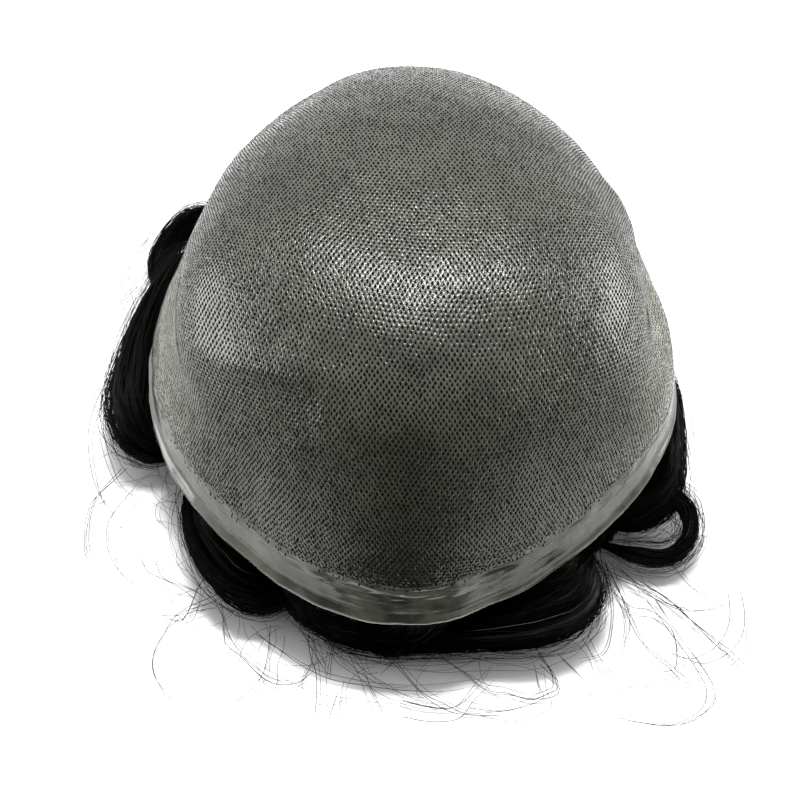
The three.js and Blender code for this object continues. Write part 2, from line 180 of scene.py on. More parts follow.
# The front of the cap mirrors a black card that stands below the camera, and a black cloth that lies
# on the table before it. Both are out of the camera's sight.
card_half = 0.375
card_height = 0.42
card_away = -0.42
cloth_half = 0.09
cloth_near = -0.125
just_over = 0.002
card_corners = [
    (-card_half, card_away, just_over), (card_half, card_away, just_over),
    (card_half, card_away, card_height), (-card_half, card_away, card_height),
]
cloth_corners = [
    (-cloth_half, card_away, just_over), (cloth_half, card_away, just_over),
    (cloth_half, cloth_near, just_over), (-cloth_half, cloth_near, just_over),
]
card_velvet, _, _ = start_material(
    "black velvet card", {"Base Color": linear("#060606"), "Roughness": 1.0},
)
stage_sheet("black_card", card_corners, card_velvet, False)
stage_sheet("dark_cloth", cloth_corners, card_velvet, False)

# The top softbox makes the highlight on the crown and the panels those on the flanks: all three are
# for shine alone. The fill only lights matt surfaces, as bounce from a white ceiling does.
box_columns = ("name", "from", "size", "power", "shines")
softboxes = [dict(zip(box_columns, row)) for row in (
    ("top softbox", (0.08, 0.385, 1.26), (0.95, 0.15), 16.5, True),
    ("left panel", (-1.2, 0.2, 0.25), (0.9, 0.5), 12, True),
    ("right panel", (1.2, 0.4, 0.22), (0.9, 0.45), 13, True),
    ("fill", (0.0, 0.12, 1.6), (0.3, 0.16), 35, False),
)]
for box in softboxes:
    light = bpy.data.lights.new(box["name"], "AREA")
    light.shape = "RECTANGLE"
    light.size, light.size_y = box["size"]
    light.energy = box["power"]
    lamp = bpy.data.objects.new(box["name"], light)
    lamp.location = box["from"]
    lamp.visible_glossy = box["shines"]
    lamp.visible_diffuse = not box["shines"]
    aim = camera_target - np.array(box["from"])
    lamp.rotation_euler = (
        math.acos(-aim[2] / np.linalg.norm(aim)),
        0,
        math.atan2(aim[1], aim[0]) - math.pi / 2,
    )
    bpy.context.scene.collection.objects.link(lamp)


# Knotted skin.
# A thin film of poly, cast on a head-shaped mould, so it keeps a dome's form with soft dents where
# it sags. It is turned inside out: the film is grey from the black hair under it and from the rows
# of knots, and it puckers at each one.
cap_width = 150 * MM
front_reach = 79 * MM
back_reach = 104 * MM
dome_rise = 73 * MM
rim_lift = 32 * MM
cap_squareness = 2.25

# Round the rim, at azimuths in degrees: shares of the oval's reach and of rim_lift, and the angle in
# degrees that the wall turns through from the crown to the rim.
rim_columns = ("azimuth", "reach", "lift", "wrap")
rim_rows = [
    (-170, 0.98, 1.12, 92),
    (-150, 0.95, 1.05, 86),
    (-129, 0.93, 1.0, 82),
    (-106, 0.975, 1.0, 80),
    (-88, 1.0, 1.0, 80),
    (-72, 0.965, 1.0, 80),
    (-54, 0.943, 1.0, 82),
    (-36, 0.967, 1.08, 84),
    (-17, 1.02, 1.18, 88),
    (5, 1.02, 1.2, 94),
    (40, 0.985, 1.0, 98),
    (90, 1.0, 0.8, 100),
    (125, 1.0, 0.85, 99),
    (150, 0.985, 0.95, 98),
    (172, 1.0, 1.1, 95),
]
rim = dict(zip(rim_columns, np.array(rim_rows, float).T))

# The dents, by the place of their middle, their half sizes down and across the wall in front
# reaches, their turn in degrees and their depth in dome rises. A depth below 0 is a bump.
dent_columns = ("name", "azimuth", "down", "long", "wide", "heading", "depth")
cap_dents = [dict(zip(dent_columns, row)) for row in (
    ("flat crown", -90, 0.12, 0.5, 0.5, 0, 0.03),
    ("soft brow", -90, 0.42, 0.12, 0.38, 0, 0.008),
    ("brow hollow", -92, 0.66, 0.16, 0.45, 0, 0.025),
    ("left pleat", -135, 0.5, 0.06, 0.3, 20, -0.018),
    ("left fold", 172, 0.7, 0.07, 0.5, 0, 0.028),
    ("right fold", 8, 0.7, 0.06, 0.35, 0, 0.024),
    ("left waist", 165, 0.72, 0.2, 0.55, 0, 0.06),
    ("right waist", 10, 0.7, 0.16, 0.4, -15, 0.045),
    ("right pleat", 25, 0.62, 0.07, 0.35, 25, -0.015),
    ("back dent", 120, 0.55, 0.2, 0.3, 0, 0.04),
)]


def smooth_column(at, keys, values, period=None):
    """Reads a table between its rows with a smooth curve: a cubic through each pair of rows, whose
    slope at a row is that of the line between the rows beside it. period makes it a closed loop."""
    at = np.asarray(at, float)
    keys = np.asarray(keys, float)
    values = np.asarray(values, float)
    if period:
        at = keys[0] + np.mod(at - keys[0], period)
        keys = np.concatenate([keys[-1:] - period, keys, keys[:2] + period])
        values = np.concatenate([values[-1:], values, values[:2]])
    else:
        keys = np.concatenate([keys[:1], keys, keys[-1:]])
        values = np.concatenate([values[:1], values, values[-1:]])
    i = np.clip(np.searchsorted(keys[1:-1], at, "right"), 1, len(keys) - 3)
    slope = (values[2:] - values[:-2]) / (keys[2:] - keys[:-2])
    step = keys[i + 1] - keys[i]
    t = np.clip((at - keys[i]) / step, 0, 1)
    rise = 3 * t**2 - 2 * t**3
    bends = (t**3 - 2 * t**2 + t) * slope[i - 1] + (t**3 - t**2) * slope[i]
    return values[i] * (1 - rise) + values[i + 1] * rise + bends * step


def rim_at(azimuth):
    """The rim's distance from the middle, its height in metres and its wrap angle in radians: an
    oval whose front and back halves differ, times the table's shares."""
    x = np.cos(np.radians(azimuth)) / (cap_width / 2)
    y = np.sin(np.radians(azimuth))
    y = y / np.where(y < 0, front_reach, back_reach)
    reach = smooth_column(azimuth, rim["azimuth"], rim["reach"], 360) / np.hypot(x, y)
    lift = smooth_column(azimuth, rim["azimuth"], rim["lift"], 360) * rim_lift
    wrap = np.radians(smooth_column(azimuth, rim["azimuth"], rim["wrap"], 360))
    return reach, lift, wrap


def plain_cap(azimuth, down):
    """A superellipse in each upright plane, from the crown out and down to the rim."""
    reach, lift, wrap = rim_at(azimuth)

    def arm(angle):
        size = np.abs(np.sin(angle)) ** cap_squareness + np.abs(np.cos(angle)) ** cap_squareness
        size = size ** (-1 / cap_squareness)
        return np.sin(angle) * size, np.cos(angle) * size

    out, up = arm(down * wrap)
    last_out, last_up = arm(wrap)
    radius = reach * out / last_out
    crown = rim_lift + dome_rise
    height = lift + (crown - lift) * (up - last_up) / (1 - last_up)
    angle = np.radians(azimuth)
    return np.stack([radius * np.cos(angle), radius * np.sin(angle), height + 0 * angle], -1)


def normals_of(surface, azimuth, down):
    """The outward normal of a surface of azimuth and down, from the cross product of its two
    slopes. Right at the crown it points up."""
    step = 1e-3
    turn = 0.5
    safe = np.maximum(down, 2 * step)
    around = surface(azimuth + turn, safe) - surface(azimuth - turn, safe)
    along = surface(azimuth, safe + step) - surface(azimuth, safe - step)
    normal = np.cross(along, around)
    normal /= np.linalg.norm(normal, axis=-1, keepdims=True)
    return np.where((down < 2 * step)[..., None], [0, 0, 1], normal)


def dent_depth(azimuth, down):
    """The sum of the dents: for each one a smooth bump that falls off as the bell curve of the
    distance from its middle, longer across the wall than down it."""
    here = plain_cap(azimuth, down)
    depth = np.zeros(here.shape[:-1])
    for dent in cap_dents:
        place = (np.array(float(dent["azimuth"])), np.array(dent["down"]))
        normal = normals_of(plain_cap, *place)
        level = np.cross([0, 0, 1], normal)
        level /= np.linalg.norm(level)
        downhill = np.cross(level, normal)
        away = here - plain_cap(*place)
        turn = math.radians(dent["heading"])
        a, b = away @ downhill, away @ level
        long = (a * math.cos(turn) + b * math.sin(turn)) / (dent["long"] * front_reach)
        wide = (b * math.cos(turn) - a * math.sin(turn)) / (dent["wide"] * front_reach)
        deep = away @ normal / front_reach
        depth += dent["depth"] * dome_rise * np.exp(-(long**2) - wide**2 - deep**2)
    return depth


def cap_surface(azimuth, down, under=0.0):
    """The plain cap moved along its normals, inwards by its dents and by under."""
    azimuth, down = np.broadcast_arrays(np.asarray(azimuth, float), np.asarray(down, float))
    normal = normals_of(plain_cap, azimuth, down)
    inwards = dent_depth(azimuth, down) + under
    return plain_cap(azimuth, down) - normal * np.asarray(inwards)[..., None]


wall_azimuths = np.linspace(-180, 180, 289)
wall_downs = np.linspace(0, 1, 129)
whole_wall = len(wall_downs) - 1
wall_points = plain_cap(wall_azimuths[:, None], wall_downs)
wall_steps = np.linalg.norm(np.diff(wall_points, axis=1), axis=-1)
wall_lengths = np.concatenate([np.zeros((len(wall_azimuths), 1)), np.cumsum(wall_steps, 1)], 1)
ruler = np.linspace(0, wall_lengths.max(), 161)
wall_shares = np.array([np.interp(ruler, lengths, wall_downs) for lengths in wall_lengths])


def read_table(table, across, along):
    """Reads a table at fractional rows and columns, by straight lines between its four nearest
    values."""
    i = np.clip(np.floor(across).astype(int), 0, table.shape[0] - 2)
    j = np.clip(np.floor(along).astype(int), 0, table.shape[1] - 2)
    s = np.clip(across - i, 0, 1)
    t = np.clip(along - j, 0, 1)
    near = table[i, j] * (1 - t) + table[i, j + 1] * t
    far = table[i + 1, j] * (1 - t) + table[i + 1, j + 1] * t
    return near * (1 - s) + far * s


def azimuth_row(azimuth):
    """The fractional row of the wall tables at an azimuth."""
    return np.mod(azimuth + 180, 360) / 360 * (len(wall_azimuths) - 1)


def flat_place(azimuth, down):
    """The cap laid flat: each place goes as far from the crown as the length of wall to it, in the
    same direction."""
    length = read_table(wall_lengths, azimuth_row(azimuth), down * whole_wall)
    angle = np.radians(azimuth)
    return np.stack([length * np.cos(angle), length * np.sin(angle)], -1)


def wall_place(flat):
    """The azimuth and the way down of a point of the flat cap, and how far past the rim it is."""
    azimuth = np.degrees(np.arctan2(flat[..., 1], flat[..., 0]))
    length = np.linalg.norm(flat, axis=-1)
    down = read_table(wall_shares, azimuth_row(azimuth), length / ruler[1])
    whole = read_table(wall_lengths, azimuth_row(azimuth), np.full(length.shape, whole_wall))
    return azimuth, down, length - whole


def share_of_wall(azimuth, length):
    """The share of the wall, measured up from the rim, that a length along the wall takes."""
    whole = read_table(wall_lengths, azimuth_row(azimuth), np.full(np.shape(azimuth), whole_wall))
    return length / whole


def ripples(points, wave, count, seed):
    """Soft random relief from about -1 to 1: a sum of sine waves of about one wavelength that run in
    random directions."""
    draw = np.random.default_rng(seed)
    directions = draw.normal(size=(count, points.shape[-1]))
    directions /= np.linalg.norm(directions, axis=1, keepdims=True)
    turns = 2 * math.pi / (wave * draw.uniform(0.7, 1.5, count))
    phases = draw.uniform(0, 2 * math.pi, count)
    return np.sin(points @ (directions * turns[:, None]).T + phases).sum(-1) / math.sqrt(count)


def sheet_relief(azimuth, down):
    """The film's own small unevenness, outwards: ripples of two sizes."""
    place = flat_place(azimuth, down)
    return 0.16 * MM * ripples(place, 26 * MM, 14, 3) + 0.05 * MM * ripples(place, 8 * MM, 14, 4)


def grid_faces(rows, columns, around, first=0):
    """The quads between neighbouring rows of a grid of points, and between its last and its first
    column where it goes all the way round."""
    steps = columns if around else columns - 1
    i, j = np.meshgrid(np.arange(rows - 1), np.arange(steps), indexing="ij")
    here = first + i * columns + j
    beside = first + i * columns + (j + 1) % columns
    return np.stack([here, beside, beside + columns, here + columns], -1).reshape(-1, 4)


def fan_faces(pole, ring, outwards):
    """The triangles between a pole and the ring of points round it."""
    beside = np.roll(ring, -1)
    first, second = (beside, ring) if outwards else (ring, beside)
    return np.stack([np.full(len(ring), pole), first, second], -1)


cap_middle = np.append(np.mean(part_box("skin_base"), axis=0)[:2], 0)
skin_wall = 1 * MM
band_width = 12 * MM
clearance = 0.3 * MM
skin_columns = 300
skin_rows = 100
skin_azimuths = np.linspace(-180, 180, skin_columns, endpoint=False)
skin_end = 1 - share_of_wall(skin_azimuths, band_width + clearance)
outer_downs = np.linspace(0, 1, skin_rows + 1)[1:, None] * skin_end
inner_downs = outer_downs[::-4]


def skin_point(azimuth, down, under=0.0):
    """A point of the skin's face, with its small unevenness, or some way under it."""
    return cap_surface(azimuth, down, under - sheet_relief(azimuth, down))


outer_face = skin_point(skin_azimuths, outer_downs)
inner_face = skin_point(skin_azimuths, inner_downs, skin_wall)
face_box = np.array([outer_face.min((0, 1)), outer_face.max((0, 1))])
cap_middle -= np.append(face_box.mean(0)[:2], 0)
poles = skin_point(np.zeros(2), np.zeros(2), np.array([0, skin_wall]))
skin_grid = np.concatenate([outer_face, inner_face]).reshape(-1, 3)
skin_flat = np.concatenate([
    flat_place(skin_azimuths, outer_downs).reshape(-1, 2),
    flat_place(skin_azimuths, inner_downs).reshape(-1, 2),
    np.zeros((2, 2)),
])

# The knots lie in rows across the cap, 1.7 mm apart in a row and each row 1.1 mm from the last, with
# every other row moved over by half. The rows bow towards the front, most of all just right of the
# middle, the columns close up towards the back, and both drift a little, as hand-set ones do.
knot_pitch = 1.7 * MM
row_pitch = 1.12 * MM
bow_middle = 9 * MM
bow_slope = 1.6
bow_width = 150 * MM
column_closing = 0.4
closing_middle = -70 * MM
closing_long = 100 * MM
wide_rows = 3 * MM
widening_middle = -20 * MM
widening_long = 18 * MM
long_wave = 38 * MM
long_drift = 0.4 * MM
short_wave = 9 * MM


def row_drift(flat):
    """How far the rows are from straight ones at a place of the flat cap. Along the cap: a
    hyperbola that steepens to bow_slope at the flanks, and a smooth step that sets the rows near the
    crown wider. Across it: columns that close up with a smooth step. Then ripples both ways."""
    x = flat[..., 0] - bow_middle
    y = flat[..., 1]
    closer = x * column_closing * np.tanh((y - closing_middle) / closing_long)
    bow = -bow_slope * (np.sqrt(x**2 + bow_width**2) - bow_width)
    wider = -wide_rows * np.tanh((y - widening_middle) / widening_long)
    across = long_drift * ripples(flat, long_wave, 7, 5) + 0.12 * MM * ripples(flat, short_wave, 7, 6)
    along = long_drift * ripples(flat, long_wave, 7, 7) + 0.1 * MM * ripples(flat, short_wave, 7, 8)
    return np.stack([closer + across, bow + wider + along], -1)


# The dark bell round the low front and the paler low flanks are partly painted light: shade on the
# front, which faces away from the light, and sheen on the flanks, which mirror white cloth.
dark_middle = np.array([4, -102]) * MM
dark_reach = np.array([48, 42]) * MM
flank_from = 62 * MM
flank_step = 36 * MM
flank_middle = -8 * MM
flank_long = 58 * MM


def hair_and_painted_light(flat):
    """How dark the film is painted at a place of the flat cap: up to 1 in a bell curve round the low
    front, where it lies on the hair, partly the hair showing through and partly painted shade; and
    down to -1 on the low flanks, where it stands away from it, paler partly as painted sheen."""
    dark = np.exp(-(((flat - dark_middle) / dark_reach) ** 2).sum(-1))
    aside = np.clip((np.abs(flat[:, 0]) - flank_from) / flank_step, 0, 1)
    beside = np.exp(-(((flat[:, 1] - flank_middle) / flank_long) ** 2))
    return dark - aside**2 * (3 - 2 * aside) * beside


row_places = (skin_flat + row_drift(skin_flat)) / MM
poly_skin = link_mesh(
    "poly_skin",
    np.concatenate([skin_grid, poles]) + cap_middle,
    grid_faces(skin_rows + len(inner_downs), skin_columns, True),
    fan_faces(len(skin_grid), np.arange(skin_columns), True),
    fan_faces(len(skin_grid) + 1, len(skin_grid) - skin_columns + np.arange(skin_columns), False),
    rows=np.concatenate([row_places, np.zeros((len(row_places), 1))], 1),
    backing=hair_and_painted_light(skin_flat),
)

# Clear poly film over black hair: a smooth gloss on a grey that lets the hair's darkness through.
# Each knot darkens and puckers the film round it and tilts it by chance, which breaks the shine into
# sparks.
halo_wide = 0.42
halo_long = 0.62
skin_film, film_shader, film_node = start_material("clear poly film over black knots", {
    "Roughness": 0.2, "IOR": 1.5, "Specular IOR Level": 0.42,
    "Coat Weight": 0.15, "Coat Roughness": 0.1, "Coat IOR": 1.5,
})
film_rows = film_node("Attribute", attribute_name="rows")
film_backing = film_node("Attribute", attribute_name="backing")
film_object = film_node("TexCoord")

# Each knot is the middle of a cell in one of two grids, that of the even rows or of the odd ones.
cell_size = (knot_pitch / MM, 2 * row_pitch / MM, 1)
cell_middle = (knot_pitch / 2 / MM, row_pitch / MM, 0.5)
halos = []
tilts = []
for even_rows in (0.5, 0):
    shift = (cell_size[0] * even_rows, cell_size[1] * even_rows, 0.5)
    moved = film_node("VectorMath", {0: film_rows.outputs["Vector"]}, {1: shift}, operation="ADD")
    cell = film_node("VectorMath", {0: moved}, {1: cell_size}, operation="SNAP")
    inside = film_node("VectorMath", {0: moved, 1: cell}, operation="SUBTRACT")
    local = film_node("VectorMath", {0: inside}, {1: cell_middle}, operation="SUBTRACT")
    seed = film_node("VectorMath", {0: cell}, {1: (0, 0, 4 * even_rows)}, operation="ADD")
    chance = film_node("TexWhiteNoise", {"Vector": seed}, noise_dimensions="3D")
    lean = film_node(
        "VectorMath", {0: chance.outputs["Color"]}, {1: (0.5, 0.5, 0.5)}, operation="SUBTRACT",
    )
    plane = film_node("VectorMath", {0: lean, 1: local}, operation="DOT_PRODUCT")
    stretched = film_node(
        "VectorMath", {0: local}, {1: (1 / halo_wide, 1 / halo_long, 0)}, operation="MULTIPLY",
    )
    away = film_node("VectorMath", {0: stretched}, operation="LENGTH")
    ring = film_node(
        "MapRange", {"Value": away.outputs["Value"]},
        {"From Min": 1.45, "From Max": 0.35}, interpolation_type="SMOOTHSTEP",
    )
    strength = film_node("MapRange", {"Value": chance.outputs["Value"]}, {"To Min": 0.6})
    halos.append(film_node("Math", {0: ring, 1: strength}, operation="MULTIPLY"))
    tilts.append(film_node("Math", {0: ring, 1: plane.outputs["Value"]}, operation="MULTIPLY"))
cloudy = film_node(
    "TexNoise", {"Vector": film_object.outputs["Object"]},
    {"Scale": 1 / 0.018, "Detail": 6.0, "Roughness": 0.72},
)
cloud_share = film_node(
    "MapRange", {"Value": cloudy.outputs["Fac"]}, {"From Min": 0.3, "From Max": 0.7},
)
film_grey = film_node(
    "Mix", {"Factor": cloud_share}, {6: linear("#282922"), 7: linear("#45463b")}, data_type="RGBA",
)
# Painted sheen, in part: on the low flanks the film is paled to a milky grey and its knot marks faded,
# partly its clearness off the hair and partly the white cloth that it mirrors.
clearing_and_painted_sheen = film_node("MapRange", {"Value": film_backing.outputs["Fac"]}, {"From Max": -1.0})
painted_sheen_grey = film_node(
    "Mix", {"Factor": clearing_and_painted_sheen, 6: film_grey.outputs[2]}, {7: linear("#68695c")}, data_type="RGBA",
)
# Painted shade, in part: round the low front the film is darkened towards black, partly the hair under
# it and partly the shade of a front that faces away from the light.
hair_and_painted_shade = film_node("MapRange", {"Value": film_backing.outputs["Fac"]}, {"To Max": 0.62})
painted_shade_grey = film_node(
    "Mix", {"Factor": hair_and_painted_shade, 6: painted_sheen_grey.outputs[2]}, {7: linear("#060605")},
    data_type="RGBA",
)
fading = film_node("MapRange", {"Value": clearing_and_painted_sheen}, {"To Min": 1.0, "To Max": 0.4})
full_halo = film_node("Math", {0: halos[0], 1: halos[1]}, operation="MAXIMUM")
halo = film_node("Math", {0: full_halo, 1: fading}, operation="MULTIPLY")
film_colour = film_node(
    "Mix", {"Factor": halo, 6: painted_shade_grey.outputs[2]}, {7: linear("#030303")}, data_type="RGBA",
)
grain = film_node(
    "TexNoise", {"Vector": film_object.outputs["Object"]},
    {"Scale": 1 / 0.0009, "Detail": 1.0, "Roughness": 0.5},
)
full_tilt = film_node("Math", {0: tilts[0], 1: tilts[1]}, operation="ADD")
tilt = film_node("Math", {0: full_tilt, 1: fading}, operation="MULTIPLY")
tilted_grain = film_node(
    "Math", {0: tilt, 2: grain.outputs["Fac"]}, {1: 1.8}, operation="MULTIPLY_ADD",
)
pucker = film_node("Math", {0: halo, 2: tilted_grain}, {1: -1.0}, operation="MULTIPLY_ADD")
film_bump = film_node("Bump", {"Height": pucker}, {"Strength": 1.0, "Distance": 0.1 * MM})
feed(film_shader, {
    "Base Color": film_colour.outputs[2], "Normal": film_bump, "Coat Normal": film_bump,
})
poly_skin.data.materials.append(skin_film)
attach(poly_skin, "root")
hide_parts("skin_base")


# Edge band.
# A hair-free strip, half an inch wide, of the same poly with a second coat, trimmed with scissors.
# Its cut edge curls outwards, most on the left and at the front, and it wrinkles along the knots.
band_wall = 1.2 * MM
band_step = 0.2 * MM
band_overlap = 0.1
band_feather = 0.03 * MM
fold_depth = 0.34 * MM
wave_relief = 0.08 * MM
fold_shift = 34 * MM
lip_flare = 1.6 * MM
lip_bead = 0.75 * MM
bead_at, bead_wide = 0.91, 0.07
lip_crease = 0.2 * MM
crease_at, crease_wide = 0.74, 0.06
band_columns = 480
band_rows = 37
band_azimuths = np.linspace(-180, 180, band_columns, endpoint=False)
band_shares = np.linspace(-band_overlap, 1, band_rows)[:, None]
lip_azimuths = np.array([-175, -150, -125, -105, -85, -60, -35, 0, 90])
lip_rolls = np.array([0.7, 1.0, 1.0, 0.8, 0.35, 0.5, 0.8, 0.5, 0.5])
wrinkle_azimuths = np.array([-170, -130, -110, -90, -70, -50, -30, 0, 90])
wrinkle_depths = np.array([0.3, 0.4, 0.9, 1.3, 1.2, 1.1, 0.7, 0.25, 0.25])


def band_point(azimuth, share, under):
    """The band's face, from a feathered edge over the skin at share -0.1 to the cut edge at 1. It
    curls out with the fourth power of the share, rolls up in a bead near the very edge with a crease
    behind it, and has long ripples along it that are deepest near the skin."""
    start = 1 - share_of_wall(azimuth, band_width)
    down = start + (1 - start) * share
    roll = smooth_column(azimuth, lip_azimuths, lip_rolls, 360)
    curl = lip_flare * share**4 * (0.4 + 0.6 * roll)
    bead = lip_bead * roll * np.exp(-((share - bead_at) / bead_wide) ** 2)
    crease = lip_crease * roll * np.exp(-((share - crease_at) / crease_wide) ** 2)
    depth = smooth_column(azimuth, wrinkle_azimuths, wrinkle_depths, 360)
    place = flat_place(azimuth, down)
    around = np.stack([place[..., 0], place[..., 1], share * fold_shift + 0 * place[..., 0]], -1)
    folds = ripples(around, 15 * MM, 16, 21) * np.exp(-((share - 0.1) / 0.17) ** 2)
    finer = around * [1, 1, 3]
    folds = folds + 0.45 * ripples(finer, 14 * MM, 16, 23) * np.exp(-((share - 0.12) / 0.22) ** 2)
    waves = ripples(around, 30 * MM, 10, 22)
    feather = np.clip((share + band_overlap) / (2 * band_overlap), 0, 1)
    feather = feather**2 * (3 - 2 * feather)
    relief = depth * (fold_depth * folds + wave_relief * waves) * feather
    relief = relief + sheet_relief(azimuth, down)
    proud = band_feather + (band_step - band_feather) * feather
    return cap_surface(azimuth, down, under - proud - curl - bead + crease - relief)


band_outer = band_point(band_azimuths, band_shares, 0.0)
band_inner = band_point(band_azimuths, np.maximum(band_shares[::-3], 0), band_wall)
band_grid = np.concatenate([band_outer, band_inner])
band_section = len(band_grid)
band_grid = np.concatenate([band_grid, band_grid[:1]])
band_faces = grid_faces(band_section + 1, band_columns, True) % (band_section * band_columns)
band_share_values = np.concatenate([
    np.repeat(band_shares[:, 0], band_columns), np.repeat(band_shares[::-3, 0], band_columns),
])
edge_film = link_mesh(
    "edge_film", band_grid[:-1].reshape(-1, 3) + cap_middle, band_faces, share=band_share_values,
)

# Clear poly in two coats: the smoothest gloss of the piece. Where it lies on the black hair it turns
# dark in blots, elsewhere its thickness makes it a milky olive grey, and its cut edge gathers light.
clear_film, clear_shader, clear_node = start_material(
    "clear double-coated poly edge",
    {"Roughness": 0.22, "Coat Weight": 0.15, "Coat Roughness": 0.12},
)
clear_object = clear_node("TexCoord")
blots = clear_node(
    "TexNoise", {"Vector": clear_object.outputs["Object"]},
    {"Scale": 1 / 0.013, "Detail": 4.0, "Roughness": 0.6, "Distortion": 0.4},
)
blot_share = clear_node(
    "MapRange", {"Value": blots.outputs["Fac"]}, {"From Min": 0.4, "From Max": 0.64},
    interpolation_type="SMOOTHSTEP",
)
clear_colour = clear_node(
    "Mix", {"Factor": blot_share}, {6: linear("#22231c"), 7: linear("#3c3e34")}, data_type="RGBA",
)
clear_share = clear_node("Attribute", attribute_name="share")
cut_edge = clear_node(
    "MapRange", {"Value": clear_share.outputs["Fac"]},
    {"From Min": 0.965, "From Max": 0.985, "To Max": 0.8},
)
edge_colour = clear_node(
    "Mix", {"Factor": cut_edge, 6: clear_colour.outputs[2]}, {7: linear("#8c8f82")},
    data_type="RGBA",
)
creases = clear_node(
    "TexNoise", {"Vector": clear_object.outputs["Object"]},
    {"Scale": 1 / 0.004, "Detail": 3.0, "Roughness": 0.5},
)
clear_bump = clear_node(
    "Bump", {"Height": creases.outputs["Fac"]}, {"Strength": 1.0, "Distance": 0.12 * MM},
)
feed(clear_shader, {"Base Color": edge_colour.outputs[2], "Normal": clear_bump})
edge_film.data.materials.append(clear_film)
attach(edge_film, "root")
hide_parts("edge_band")


# Knots.
# Each hair is knotted through the film, and on the scalp side its knot shows as a small black lump,
# longer from front to back than it is wide. There are about 27,000, each a low pyramid. Some run on
# into the band, most of all on the left.
random = np.random.default_rng(53)
drift_turns = 24
knot_long = 1.2 * MM
knot_wide = 0.76 * MM
knot_proud = 0.07 * MM
spill_azimuths = np.array([-175, -125, -105, -60, 0, 90])
spill_lengths = np.array([3.8, 3.8, 1.4, 1.0, 1.6, 1.0]) * MM
spill_margin = 0.4 * MM
scatter = 0.09 * MM
edge_scatter = 0.12 * MM
scatter_reach = 14 * MM
half_rows = int(2.2 * ruler[-1] / row_pitch)
row_numbers, place_numbers = np.meshgrid(
    np.arange(-half_rows, half_rows + 1), np.arange(-half_rows, half_rows + 1), indexing="ij",
)
set_out = np.stack([
    (place_numbers + 0.5 * (row_numbers % 2)) * knot_pitch, row_numbers * row_pitch,
], -1)


def undrifted(places):
    """The place of the flat cap that drifts to a given one, found by taking the drift back over
    and over, each time halfway from the last find."""
    found = places * [0.8, 1]
    for _ in range(drift_turns):
        found = (found + places - row_drift(found)) / 2
    return found


def on_film(places):
    """The points of the skin's face, or past it the band's, over places of the flat cap."""
    azimuth, down, past = wall_place(places)
    share = 1 + past / band_width
    over_band = band_point(azimuth, np.maximum(share, -band_overlap), 0.0)
    return np.where((share > -band_overlap)[..., None], over_band, skin_point(azimuth, down))


set_out = undrifted(set_out)
set_out = set_out[np.linalg.norm(set_out, axis=-1) < ruler[-1]]
knot_azimuth, _, past_rim = wall_place(set_out)
spill = smooth_column(knot_azimuth, spill_azimuths, spill_lengths, 360)
spill *= random.random(len(set_out)) ** 1.5
set_out = set_out[past_rim < spill - band_width - spill_margin]
near_band = np.clip(1 + (wall_place(set_out)[2] + band_width) / scatter_reach, 0, 1)[:, None]
set_out += random.normal(size=set_out.shape) * (scatter + edge_scatter * near_band)
step = 0.2 * MM
knot_middle = on_film(set_out)
knot_across = on_film(set_out + [step, 0]) - knot_middle
knot_along = on_film(set_out + [0, step]) - knot_middle
knot_up = np.cross(knot_across, knot_along)
for axis in (knot_across, knot_along, knot_up):
    axis /= np.linalg.norm(axis, axis=1, keepdims=True)
knot_turn = random.normal(scale=0.2, size=(len(set_out), 1))
knot_size = random.uniform(0.78, 1.2, (len(set_out), 1))
long_axis = knot_along * np.cos(knot_turn) + knot_across * np.sin(knot_turn)
wide_axis = knot_across * np.cos(knot_turn) - knot_along * np.sin(knot_turn)
long_axis *= knot_size * knot_long / 2
wide_axis *= knot_size * knot_wide / 2
top_axis = knot_up * knot_size * knot_proud
knot_points = np.stack([
    knot_middle + long_axis, knot_middle + wide_axis, knot_middle - long_axis,
    knot_middle - wide_axis, knot_middle + top_axis,
], 1)
knot_first = 5 * np.arange(len(set_out))[:, None, None]
knot_faces = knot_first + np.array([[4, 0, 1], [4, 1, 2], [4, 2, 3], [4, 3, 0], [2, 1, 0], [3, 2, 0]])
# Each knot's clear value, from the low flanks, sets how much painted sheen pales it.
knots = link_mesh(
    "knots", knot_points.reshape(-1, 3) + cap_middle, knot_faces.reshape(-1, 3),
    clear=np.repeat(np.maximum(-hair_and_painted_light(set_out), 0), 5),
)

# Black hair sealed under a thin coat of poly. Where the film stands away from the hair, on the low
# flanks, the knots are painted paler: painted sheen, as the film round them mirrors the white cloth.
knot_black, knot_shader, knot_node = start_material(
    "sealed black hair knots", {"Roughness": 0.4, "Specular IOR Level": 0.03},
)
knot_place = knot_node("TexCoord")
knot_noise = knot_node(
    "TexNoise", {"Vector": knot_place.outputs["Object"]}, {"Scale": 1 / 0.004, "Detail": 1.0},
)
knot_colour = knot_node(
    "Mix", {"Factor": knot_noise.outputs["Fac"]},
    {6: linear("#030303"), 7: linear("#0b0b0a")}, data_type="RGBA",
)
knot_sheen_share = knot_node("Attribute", attribute_name="clear")
knot_painted_sheen = knot_node("MapRange", {"Value": knot_sheen_share.outputs["Fac"]}, {"To Max": 0.6})
knot_sheen_colour = knot_node(
    "Mix", {"Factor": knot_painted_sheen, 6: knot_colour.outputs[2]}, {7: linear("#56574c")},
    data_type="RGBA",
)
feed(knot_shader, {"Base Color": knot_sheen_colour.outputs[2]})
knots.data.materials.append(knot_black)
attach(knots, "root")


